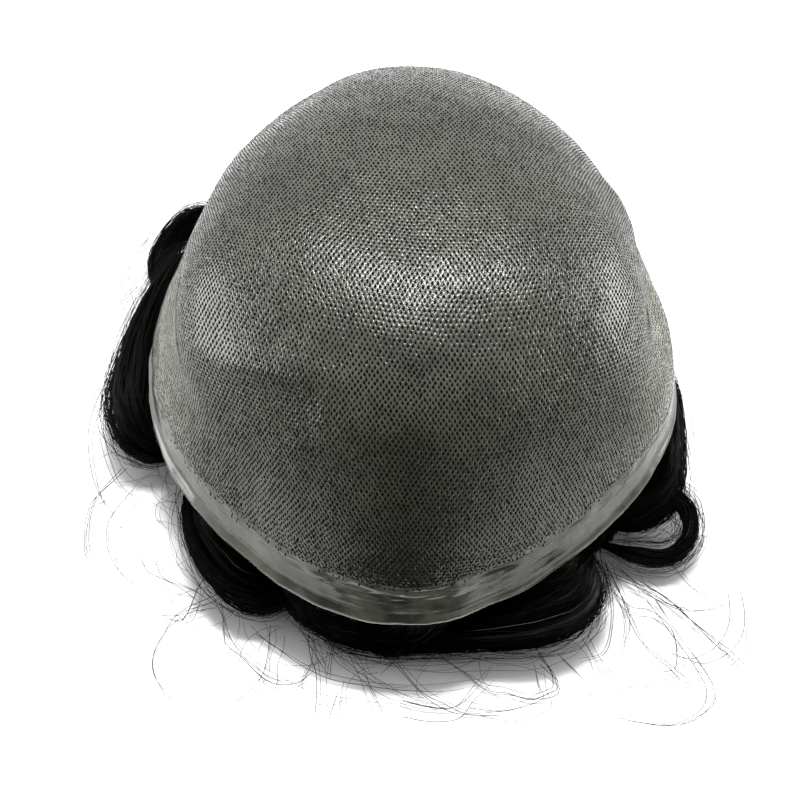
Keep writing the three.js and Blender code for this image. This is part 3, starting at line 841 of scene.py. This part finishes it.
# Hair.
# Straight black hair, 10 to 15 cm long, knotted to the other side of the film. It lies bunched under
# the cap, falls from the rim to the table, and spills out in locks. Each zone is one piece: a grooved
# body of packed hair, and the single hairs that lie over it.
bed_depth = 8 * MM
fall_depth = 13 * MM
wave_depth = 2.2 * MM
fall_relief = 3 * MM
lock_span = 12 * MM
lock_height = 14 * MM
looseness = 0.7 * MM
gathers = 16
slant = 220
grooves = 150
groove_depth = 0.25 * MM
body_inset = 0.3 * MM
draw_in = 0.09
crown_share = 0.42
tip_share = 0.25
hair_top = band_wall + looseness


def gathered(azimuth, down):
    """The relief of the bunched locks from 0 to 1: a cosine across the locks, which run slantwise
    down the wall and fade out towards the crown."""
    phase = np.radians(azimuth * gathers + slant * down)
    return np.minimum(1, down / crown_share) * (0.5 + 0.5 * np.cos(phase))


def fall_point(azimuth, fallen, under):
    """The fall from the rim at 0 to the table at 1: straight down, drawn in a little at its foot."""
    azimuth, fallen = np.broadcast_arrays(azimuth, fallen)
    top = cap_surface(azimuth, np.ones(azimuth.shape), under)
    foot = 1 - draw_in * fallen * (2 - fallen)
    return top * np.stack([foot, foot, 1 - fallen], -1)


def bed_face(azimuth, down, inner, proud=0.0):
    """The bunched hair's outer or inner face, from the crown at 0 over the rim at 1 to the table at
    2. proud lifts a place off the face."""
    azimuth, down = np.broadcast_arrays(np.asarray(azimuth, float), np.asarray(down, float))
    over = np.clip(down - 1, 0, 1)
    lift = gathered(azimuth, down)
    if inner:
        depth = bed_depth + (fall_depth - bed_depth) * np.minimum(down, 1) ** 3
        under = hair_top + depth + wave_depth * lift + proud
    else:
        under = hair_top - fall_relief * lift * np.sqrt(over) - proud
    on_wall = cap_surface(azimuth, np.minimum(down, 1), under)
    on_fall = fall_point(azimuth, over, under)
    return np.where((down <= 1)[..., None], on_wall, on_fall)


def bed_body(start, end, columns, downs, around):
    """A closed slab of bunched hair over a range of azimuths, with fine grooves along the hair."""
    azimuths = np.linspace(start, end, columns, endpoint=not around)
    phase = np.radians(azimuths * grooves + slant / gathers * grooves * downs[:, None])
    groove = groove_depth * np.cos(phase) * np.clip(downs[:, None] * 3, 0, 1)
    outer = bed_face(azimuths, downs[:, None], False, groove - body_inset)
    inner = bed_face(azimuths, downs[::-1, None], True, groove[::-1] - body_inset)
    rows = np.concatenate([outer, inner])
    points = rows.reshape(-1, 3)
    size = len(points)
    faces = grid_faces(len(rows) + 1, columns, around) % size
    if around:
        return points, faces
    half = len(downs)
    i = np.arange(half - 1)
    opposite = 2 * half - 1 - i
    ladder = np.stack([i, i + 1, opposite - 1, opposite], -1) * columns
    return points, np.concatenate([faces, ladder, ladder[:, ::-1] + columns - 1])


# The locks, each by rows from its root to its tip: an azimuth in degrees, shares of the rim's reach
# and height, and shares of lock_span and lock_height.
lock_columns = ("azimuth", "reach", "up", "span", "high")
locks = {
    "left_hair": [
        [
            (128, 0.90, 0.76, 0.45, 0.60),
            (130, 1.05, 0.80, 0.45, 0.55),
            (132, 1.16, 0.74, 0.48, 0.50),
            (137, 1.22, 0.64, 0.46, 0.50),
            (143, 1.23, 0.52, 0.40, 0.45),
            (147, 1.16, 0.36, 0.30, 0.35),
        ],
        [
            (136, 0.90, 0.76, 0.50, 0.70),
            (139, 1.04, 0.78, 0.45, 0.70),
            (146, 1.11, 0.72, 0.58, 0.85),
            (158, 1.12, 0.64, 0.78, 1.05),
            (170, 1.11, 0.57, 0.95, 1.15),
            (179, 1.11, 0.50, 1.00, 1.10),
            (186, 1.06, 0.41, 0.88, 0.90),
            (188, 0.97, 0.33, 0.60, 0.60),
        ],
    ],
    "front_hair": [
        [
            (-158, 0.88, 0.70, 0.60, 0.80),
            (-150, 0.96, 0.60, 0.80, 1.10),
            (-140, 1.01, 0.50, 0.95, 1.20),
            (-130, 1.02, 0.44, 0.95, 1.10),
            (-123, 0.96, 0.38, 0.80, 0.90),
            (-118, 0.87, 0.36, 0.60, 0.70),
        ],
        [
            (-121, 0.88, 0.50, 0.70, 0.90),
            (-112, 0.93, 0.44, 0.75, 0.90),
            (-100, 0.93, 0.42, 0.75, 0.90),
            (-87, 0.91, 0.42, 0.75, 0.90),
            (-75, 0.96, 0.44, 0.85, 1.00),
            (-64, 1.03, 0.50, 1.15, 1.30),
            (-54, 1.06, 0.50, 1.30, 1.40),
            (-46, 0.98, 0.48, 1.10, 1.20),
            (-42, 0.86, 0.44, 0.80, 0.90),
        ],
    ],
    "right_hair": [
        [
            (8, 0.90, 1.00, 0.40, 0.70),
            (2, 0.99, 1.00, 0.40, 0.80),
            (-7, 1.01, 0.82, 0.60, 1.10),
            (-14, 1.01, 0.68, 0.95, 1.30),
            (-21, 1.01, 0.55, 1.15, 1.30),
            (-27, 0.95, 0.45, 0.95, 1.10),
            (-31, 0.87, 0.38, 0.70, 0.80),
        ],
        [
            (-16, 0.90, 0.50, 0.40, 0.50),
            (-18, 1.05, 0.46, 0.38, 0.50),
            (-20, 1.15, 0.38, 0.40, 0.50),
            (-25, 1.20, 0.31, 0.42, 0.50),
            (-30, 1.17, 0.27, 0.44, 0.50),
            (-33, 1.06, 0.28, 0.42, 0.50),
            (-36, 0.92, 0.34, 0.40, 0.50),
        ],
    ],
    "back_hair": [
        [
            (56, 0.86, 0.50, 0.70, 0.90),
            (64, 0.95, 0.42, 0.90, 1.10),
            (74, 0.98, 0.35, 1.00, 1.10),
            (84, 0.95, 0.30, 0.90, 0.90),
            (91, 0.87, 0.28, 0.70, 0.70),
        ],
        [
            (90, 0.86, 0.50, 0.70, 0.90),
            (98, 0.95, 0.42, 0.90, 1.10),
            (108, 0.98, 0.35, 1.00, 1.10),
            (117, 0.95, 0.30, 0.90, 0.90),
            (123, 0.87, 0.28, 0.70, 0.70),
        ],
    ],
}


def lock_frame(table, along):
    """A lock's middle line, its two half widths and their directions, at shares along it. The line
    is a smooth curve through the table's rows and runs straight on past its end."""
    rows = dict(zip(lock_columns, np.array(table, float).T))
    stations = np.linspace(0, 1, len(table))

    def read(name, s):
        return smooth_column(np.clip(s, 0, 1), stations, rows[name])

    def centre(s):
        azimuth = read("azimuth", s)
        distance = read("reach", s) * rim_at(azimuth)[0]
        half = read("high", s) * lock_height / 2
        angle = np.radians(azimuth)
        height = np.maximum(read("up", s) * rim_lift, half + clearance)
        return np.stack([distance * np.cos(angle), distance * np.sin(angle), height], -1)

    small = 1e-3
    inside = np.clip(along, 0, 1)
    ahead = centre(np.minimum(inside + small, 1)) - centre(np.maximum(inside - small, 0))
    ahead /= np.minimum(inside + small, 1)[..., None] - np.maximum(inside - small, 0)[..., None]
    middle = centre(inside) + ahead * (along - inside)[..., None]
    ahead /= np.linalg.norm(ahead, axis=-1, keepdims=True)
    side = np.cross([0, 0, 1], ahead)
    side /= np.linalg.norm(side, axis=-1, keepdims=True)
    taper = np.clip((1 - along) / tip_share + tip_share, tip_share, 1)
    half_span = read("span", inside) * lock_span / 2 * taper
    half_high = read("high", inside) * lock_height / 2 * taper
    return middle, side, np.cross(ahead, side), half_span, half_high


lock_rings = 41
lock_sides = 36


def lock_body(table, fullness):
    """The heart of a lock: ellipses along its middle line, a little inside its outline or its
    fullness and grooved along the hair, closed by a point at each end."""
    along = np.linspace(0, 1, lock_rings)[:, None]
    angle = np.linspace(0, 2 * math.pi, lock_sides, endpoint=False)
    middle, side, over, half_span, half_high = lock_frame(table, along[:, 0])
    size = 0.84 + 0.04 * np.cos(9 * angle + 3 * along) + 0.03 * np.cos(17 * angle - 2 * along)
    size = size * min(1, fullness)
    across = (size * np.cos(angle))[..., None] * half_span[:, None, None] * side[:, None]
    upright = (size * np.sin(angle))[..., None] * half_high[:, None, None] * over[:, None]
    rings = middle[:, None] + across + upright
    points = np.concatenate([rings.reshape(-1, 3), rings[[0, -1]].mean(1)])
    pole = lock_rings * lock_sides
    first_ring = np.arange(lock_sides)
    last_ring = first_ring + pole - lock_sides
    ends = [fan_faces(pole, first_ring, False), fan_faces(pole + 1, last_ring, True)]
    return points, grid_faces(lock_rings, lock_sides, True), ends


def tubes(paths, radii):
    """Thin closed tubes of three sides along many paths at once: a ring of three points round each
    point of a path, square to it, with the rings joined by quads and a triangle at each end."""
    count, length = paths.shape[:2]
    ahead = np.gradient(paths, axis=1)
    ahead /= np.linalg.norm(ahead, axis=2, keepdims=True) + 1e-12
    any_direction = [0.48, 0.36, 0.8]
    start = np.cross(paths[:, -1] - paths[:, 0], any_direction)[:, None]
    side = start - (start * ahead).sum(2, keepdims=True) * ahead
    side /= np.linalg.norm(side, axis=2, keepdims=True) + 1e-12
    over = np.cross(ahead, side)
    turns = np.radians([0, 120, 240])
    ring = np.cos(turns)[:, None] * side[:, :, None] + np.sin(turns)[:, None] * over[:, :, None]
    points = paths[:, :, None] + radii[:, :, None, None] * ring
    first = (np.arange(count) * length * 3)[:, None, None]
    row = (np.arange(length - 1) * 3)[None, :, None]
    corner = np.arange(3)
    here = first + row + corner
    beside = first + row + (corner + 1) % 3
    quads = np.stack([here, beside, beside + 3, here + 3], -1).reshape(-1, 4)
    foot = first[:, 0] + np.array([2, 1, 0])
    tip = first[:, 0] + (length - 1) * 3 + np.array([0, 1, 2])
    return points.reshape(-1, 3), quads, np.concatenate([foot, tip])


def spread(count, points, amount, waves):
    """Smooth wandering of many hairs: for each one a sum of a few sine waves along it, with chance
    sizes and phases, in the unit of amount. It grows from nothing at the root."""
    along = np.linspace(0, 1, points)
    total = np.zeros((count, points))
    for wave in waves:
        phase = random.uniform(0, 2 * math.pi, (count, 1))
        size = random.normal(size=(count, 1)) / wave
        total += size * (np.sin(2 * math.pi * wave * along + phase) - np.sin(phase))
    return amount * total


loose_share = 0.2
strand_reach = 0.93
strand_pull = 0.4
strand_swing = 0.07
loose_thin = 0.06
loose_thick = 0.12


def lock_hairs(table, count, reach, fullness, points=15):
    """The hairs of a lock. Each keeps its place in the lock's section, drawn towards the middle of
    its strand of hairs as they near the tip. fullness is how far out most of them lie, as a share
    of the lock's own half widths. A few stand off it, up to reach, and they end at different
    lengths."""
    angle = random.uniform(0, 2 * math.pi, count)
    loose = random.random(count) < loose_share
    far_out = random.uniform(1.0, reach, count)
    close_in = random.uniform(0.62 * fullness, 1.04 * fullness, count)
    out = np.where(loose, far_out, close_in)
    start = random.uniform(0.0, 0.22, count) * (random.random(count) < 0.5)
    end = random.uniform(0.8, 1.0, count) + loose * random.uniform(0, 0.16, count)
    along = start[:, None] + (end - start)[:, None] * np.linspace(0, 1, points)
    strands = max(9, count // 30)
    strand_angle = (np.arange(strands) + random.uniform(-0.3, 0.3, strands)) * 2 * math.pi / strands
    strand = np.round(angle / (2 * math.pi) * strands).astype(int) % strands
    pull = np.where(loose, 0.0, strand_pull)[:, None] * np.clip(0.15 + 0.85 * along, 0, 1)
    a = out * np.cos(angle)
    b = out * np.sin(angle)
    a = a[:, None] + pull * (strand_reach * np.cos(strand_angle[strand]) - a)[:, None]
    b = b[:, None] + pull * (strand_reach * np.sin(strand_angle[strand]) - b)[:, None]
    for place in (a, b):
        swing = spread(strands, points, strand_swing, (0.6, 1.1, 1.9))
        stray = spread(count, points, strand_swing, (1.0, 2.1, 3.3))
        place += swing[strand] + stray * (1 + 2 * loose[:, None])
    middle, side, over, half_span, half_high = lock_frame(table, along)
    paths = middle + (a * half_span)[..., None] * side + (b * half_high)[..., None] * over
    thick = np.where(loose, loose_thin, random.uniform(0.1, 0.17, count))[:, None] * MM
    radii = thick * np.minimum(1, 0.35 + 3 * (1 - np.linspace(0, 1, points)))
    return paths, radii


fall_top = 0.93
side_gap = 0.4
wild_share = 0.25
inner_thick = 0.2 * MM
over_table = 0.12 * MM


def fall_hairs(start, end, count, points=13):
    """The hairs that fall from under the rim to the table along the slant of the bunched locks, in
    strands, the last stretch of some drifting off along the table."""
    strands = max(6, int((end - start) / 5))
    root = random.uniform(start + 1, end - 1, count)
    strand = np.clip(((root - start) / (end - start) * strands).astype(int), 0, strands - 1)
    strand_root = start + (strand + 0.5) / strands * (end - start)
    tip = random.uniform(1.72, 1.99, count)
    along = np.linspace(0, 1, points)
    down = fall_top + (tip - fall_top)[:, None] * along
    azimuth = root[:, None] + 0.6 * along * (strand_root - root)[:, None]
    azimuth = azimuth - slant / gathers * (down - fall_top)
    azimuth = azimuth + spread(count, points, 0.8, (0.7, 1.3, 2.3))
    azimuth = np.clip(azimuth, start + side_gap, end - side_gap)
    lift = random.uniform(-0.15, 0.5, (count, 1)) * MM
    lift = lift + np.abs(spread(count, points, 0.35 * MM, (0.6, 1.2)))
    wild = (random.random((count, 1)) < wild_share) * random.uniform(1, 6, (count, 1)) * MM
    lift = np.clip((down - 1) * 4, 0, 1) * lift + wild * along**3
    paths = bed_face(azimuth, down, False, lift)
    thick = random.uniform(0.12, 0.2, (count, 1)) * MM
    return paths, thick * np.minimum(1, 0.35 + 3 * (1 - along))


def bed_hairs(start, end, count, points=12):
    """The hairs of the hollow's own side: from near the crown down the inner face to the table."""
    root = random.uniform(start + 1, end - 1, (count, 1))
    first = random.uniform(0.1, 0.9, (count, 1))
    down = first + (random.uniform(1.6, 1.98, (count, 1)) - first) * np.linspace(0, 1, points)
    azimuth = root - slant / gathers * (down - 1) + spread(count, points, 1.0, (0.7, 1.5))
    azimuth = np.clip(azimuth, start + side_gap, end - side_gap)
    down = np.maximum(down, crown_share + 0.01)
    paths = bed_face(azimuth, down, True, 0.25 * MM)
    return paths, np.full(paths.shape[:2], inner_thick)


def lies_on_table(points):
    """Points no lower than the table: what would go under it is laid on it."""
    points = points.copy()
    points[..., 2] = np.maximum(points[..., 2], over_table)
    return points


# Untreated black hair: a dark brown-black that shines along the strand. A few hairs are browner, a
# few carry a painted silver highlight part way along, and they all pale a little towards the tips.
black_hair, hair_shader, hair_node = start_material(
    "untreated black hair", {"Roughness": 0.3, "Specular IOR Level": 0.05},
)
hair_tint = hair_node("Attribute", attribute_name="tint")
hair_colour = hair_node(
    "Mix", {"Factor": hair_tint.outputs["Fac"]},
    {6: linear("#010101"), 7: linear("#15100c")}, data_type="RGBA",
)
# A tint past 1.3 is a painted highlight: pale silver colour on a short stretch of a few hairs.
painted_glint_share = hair_node(
    "MapRange", {"Value": hair_tint.outputs["Fac"]}, {"From Min": 1.3, "From Max": 2.0},
)
hair_with_painted_glints = hair_node(
    "Mix", {"Factor": painted_glint_share, 6: hair_colour.outputs[2]}, {7: linear("#5c5854")}, data_type="RGBA",
)
feed(hair_shader, {"Base Color": hair_with_painted_glints.outputs[2]})


glint_share = 0.06
gleam_long = 0.16
tip_paling = 0.25


def build_hair(name, bodies, hairs):
    """Joins the bodies and hair tubes into one piece, with each hair's own tint and painted glint."""
    positions, quads, triangles, tints = [], [], [], []
    size = 0
    for points, faces, ends in bodies:
        positions.append(points)
        quads.append(faces + size)
        triangles += [end + size for end in ends]
        tints.append(np.zeros(len(points)))
        size += len(points)
    for paths, radii in hairs:
        points, faces, ends = tubes(lies_on_table(paths), radii)
        positions.append(points)
        quads.append(faces + size)
        triangles.append(ends + size)
        each = (len(paths), 1)
        along = np.linspace(0, 1, paths.shape[1])
        own = random.beta(1.2, 5, each)
        # Painted highlight: a bell curve of paleness part way along a few hairs.
        glint_strength = (random.random(each) < glint_share) * random.uniform(0.5, 2, each)
        shine_middle = random.uniform(0.2, 0.9, each)
        painted_glint = glint_strength * np.exp(-((along - shine_middle) / gleam_long) ** 2)
        tints.append(np.repeat((own + tip_paling * along**3 + painted_glint).ravel(), 3))
        size += len(points)
    made = link_mesh(
        name,
        lies_on_table(np.concatenate(positions)) + cap_middle,
        np.concatenate(quads),
        *([np.concatenate(triangles)] if triangles else []),
        tint=np.concatenate(tints),
    )
    made.data.materials.append(black_hair)
    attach(made, "root")
    return made


# What each zone covers, how many hairs fall from its rim, and for each of its locks how many hairs
# it has, how far the loose ones stand off and how far out the rest lie.
zone_columns = ("name", "from", "to", "falling", "lock hairs")
zones = [dict(zip(zone_columns, row)) for row in (
    ("left_hair", 128, 204, 420, ((480, 2.2, 1.35), (820, 1.75, 0.88))),
    ("front_hair", 204, 322, 560, ((520, 1.6, 1.0), (760, 1.5, 1.0))),
    ("right_hair", -38, 50, 420, ((640, 1.3, 1.0), (340, 2.2, 0.78))),
    ("back_hair", 50, 128, 340, ((260, 1.5, 1.0), (260, 1.5, 1.0))),
)]
zone_gap = 0.2
zone_bed_hairs = 160
zone_downs = np.concatenate([
    np.linspace(crown_share + 0.002, 0.9, 8), np.linspace(fall_top, 2, 22),
])
for zone in zones:
    start, end = zone["from"], zone["to"]
    columns = int((end - start) * 1.2)
    body = bed_body(start + zone_gap, end - zone_gap, columns, zone_downs, False)
    bodies = [(*body, [])]
    hairs = [fall_hairs(start, end, zone["falling"]), bed_hairs(start, end, zone_bed_hairs)]
    for table, (count, reach, fullness) in zip(locks[zone["name"]], zone["lock hairs"]):
        bodies.append(lock_body(table, fullness))
        hairs.append(lock_hairs(table, count, reach, fullness))
    piece = build_hair(zone["name"] + "_strands", bodies, hairs)
    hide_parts(zone["name"])

crown_hairs = 260
crown_swirl = 60
crown_body = bed_body(-180, 180, 180, np.linspace(0.03, crown_share - 0.002, 12), True)
crown_root = random.uniform(-180, 180, (crown_hairs, 1))
crown_down = np.linspace(0.04, crown_share - 0.004, 10) + 0 * crown_root
crown_azimuth = crown_root - crown_swirl * (crown_down - crown_share)
crown_paths = bed_face(crown_azimuth, crown_down, True, inner_thick)
crown_radii = np.full(crown_paths.shape[:2], inner_thick)
crown = build_hair("crown_hair_strands", [(*crown_body, [])], [(crown_paths, crown_radii)])
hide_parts("crown_hair")


# Loose hairs.
# Single hairs have sprung away from the locks and lie in wide arcs on the table, most of them in
# front and at the front right. Short ones stand off all round the front and the left. Each arc has
# the height of its root and its corners, in millimetres from the middle of the cap.
loose_arcs = [
    (3, [(-53, -67), (-63, -72), (-68, -79), (-70, -85), (-70, -91), (-66, -97), (-61, -102),
         (-55, -104)]),
    (3, [(-53, -67), (-51, -73), (-49, -80), (-45, -85), (-41, -89), (-37, -92), (-32, -93), (-28, -92),
         (-26, -89), (-25, -85), (-25, -79)]),
    (3, [(-36, -76), (-36, -81), (-37, -86), (-38, -92), (-42, -97), (-47, -102)]),
    (3, [(-24, -78), (-23, -84), (-21, -91), (-21, -106)]),
    (3, [(-19, -80), (-20, -85), (-21, -91)]),
    (3, [(-29, -76), (-25, -84), (-21, -91)]),
    (3, [(-18, -98), (-19, -102), (-20, -106)]),
    (3, [(-43, -76), (-38, -81), (-32, -85), (-27, -88), (-21, -91), (-11, -93), (0, -94), (11, -94),
         (22, -92)]),
    (3, [(-20, -84), (-17, -88), (-12, -92), (-7, -96), (0, -100), (8, -102), (15, -100)]),
    (3, [(-15, -85), (-11, -93), (-9, -99), (-6, -104), (0, -107)]),
    (6, [(-72, -55), (-69, -60), (-65, -62), (-59, -65), (-53, -69)]),
    (6, [(-57, -61), (-59, -64), (-61, -70), (-63, -74)]),
    (6, [(-68, -75), (-64, -75), (-61, -72), (-53, -69)]),
    (3, [(-2, -85), (0, -88), (7, -96), (13, -100), (19, -102), (26, -102), (33, -101)]),
    (3, [(0, -100), (8, -102), (15, -101), (20, -95), (26, -88)]),
    (3, [(19, -102), (29, -103), (39, -99), (39, -94), (38, -87)]),
    (3, [(39, -85), (43, -91), (44, -96), (42, -98), (37, -99), (30, -97), (24, -96), (17, -90),
         (11, -85)]),
    (3, [(44, -85), (51, -92)]),
    (4, [(52, -55), (65, -61), (74, -66), (81, -72), (87, -79), (94, -86), (97, -90)]),
    (4, [(70, -62), (78, -68), (85, -76), (91, -83), (97, -91)]),
    (4, [(60, -54), (63, -63), (66, -74), (70, -82), (76, -88), (80, -92), (85, -92)]),
    (3, [(63, -67), (68, -72), (73, -73), (79, -79), (80, -88), (77, -92), (70, -92), (57, -88)]),
    (3, [(53, -83), (57, -91), (62, -97), (68, -98), (75, -97), (79, -96)]),
    (3, [(74, -67), (80, -79), (86, -90), (88, -97), (86, -102), (82, -105), (76, -107), (69, -106),
         (62, -104), (57, -100)]),
    (3, [(81, -87), (86, -88), (93, -85), (97, -80), (99, -73), (99, -63), (96, -54)]),
    (5, [(79, -56), (86, -65), (94, -66)]),
    (5, [(62, -56), (67, -61), (74, -67), (81, -70), (88, -70), (94, -67)]),
    (5, [(57, -54), (61, -64), (64, -72), (64, -80), (60, -87)]),
    (5, [(59, -54), (61, -67), (60, -77), (57, -84), (50, -86)]),
    (18, [(-82, 59), (-86, 55), (-90, 50), (-90, 44), (-89, 37), (-86, 32), (-82, 29)]),
    (18, [(-80, 59), (-85, 56), (-90, 50), (-93, 46)]),
    (18, [(-84, 39), (-89, 37), (-92, 35)]),
    (18, [(-86, 15), (-89, 2), (-90, -12), (-87, -25), (-83, -32), (-77, -35)]),
    (18, [(-87, 10), (-93, -10), (-93, -23), (-89, -35), (-82, -44)]),
    (18, [(-86, 10), (-88, 6), (-92, -2), (-97, -7)]),
    (6, [(-81, -31), (-86, -41), (-85, -52), (-77, -61), (-67, -66)]),
    (6, [(-83, -23), (-91, -34), (-92, -47), (-89, -55)]),
]
loose_copies = 3
loose_points = 26
short_hairs = 90
short_points = 12
short_from = 150
short_to = 350
reach_x = 100.5 * MM
reach_y = 107 * MM


def arc_path(height, corners, wander):
    """A smooth path through the corners, in metres, that sinks from its height. It is moved as a
    whole by chance, each corner a little more, and then as a whole back within reach."""
    moved = random.normal(scale=wander, size=(1, 2))
    moved = moved + random.normal(scale=0.3, size=(len(corners), 2))
    corners = np.array(corners) + moved
    limit = np.array([reach_x, reach_y]) / MM
    corners -= np.maximum(corners.max(0) - limit, 0) + np.minimum(corners.min(0) + limit, 0)
    stations = np.linspace(0, 1, len(corners))
    along = np.linspace(0, 1, loose_points)
    sag = height * (1 - 0.6 * along)
    x, y = (smooth_column(along, stations, corners[:, axis]) for axis in (0, 1))
    return np.stack([x, y, sag], -1) * MM


loose_paths = np.stack([
    arc_path(height, corners, 1.4 * copy)
    for height, corners in loose_arcs for copy in range(loose_copies)
])
each_short = (short_hairs, 1)
short_azimuth = random.uniform(short_from, short_to, each_short)
short_outward = np.radians(short_azimuth)
short_out = random.uniform(0.96, 1.08, each_short) * rim_at(short_azimuth)[0]
short_aside = random.choice([-1, 1], each_short) * random.uniform(0.7, 1.6, each_short)
short_heading = short_outward + short_aside
short_bend = random.choice([-1, 1], each_short) * random.uniform(1.2, 3.4, each_short)
short_length = random.uniform(12, 38, each_short) * MM
short_along = np.linspace(0, 1, short_points)
short_turn = short_heading + short_bend * short_along
short_step = short_length / (short_points - 1)
short_x = short_out * np.cos(short_outward) + np.cumsum(np.cos(short_turn), 1) * short_step
short_y = short_out * np.sin(short_outward) + np.cumsum(np.sin(short_turn), 1) * short_step
short_z = random.uniform(0.5, 9, each_short) * MM * (1 - 0.5 * short_along)
short_paths = np.stack([short_x, short_y, short_z], -1)
short_inside = np.abs(short_x + cap_middle[0]) < reach_x
short_inside &= np.abs(short_y + cap_middle[1]) < reach_y
short_paths = short_paths[short_inside.all(1)]
loose_taper = np.minimum(1, 0.4 + 2 * (1 - np.linspace(0, 1, loose_points)))
loose_radii = random.uniform(loose_thin, loose_thick, (len(loose_paths), 1)) * MM * loose_taper
short_radii = np.full(short_paths.shape[:2], loose_thin * MM)
build_hair("loose_hairs", [], [(loose_paths - cap_middle, loose_radii), (short_paths, short_radii)])
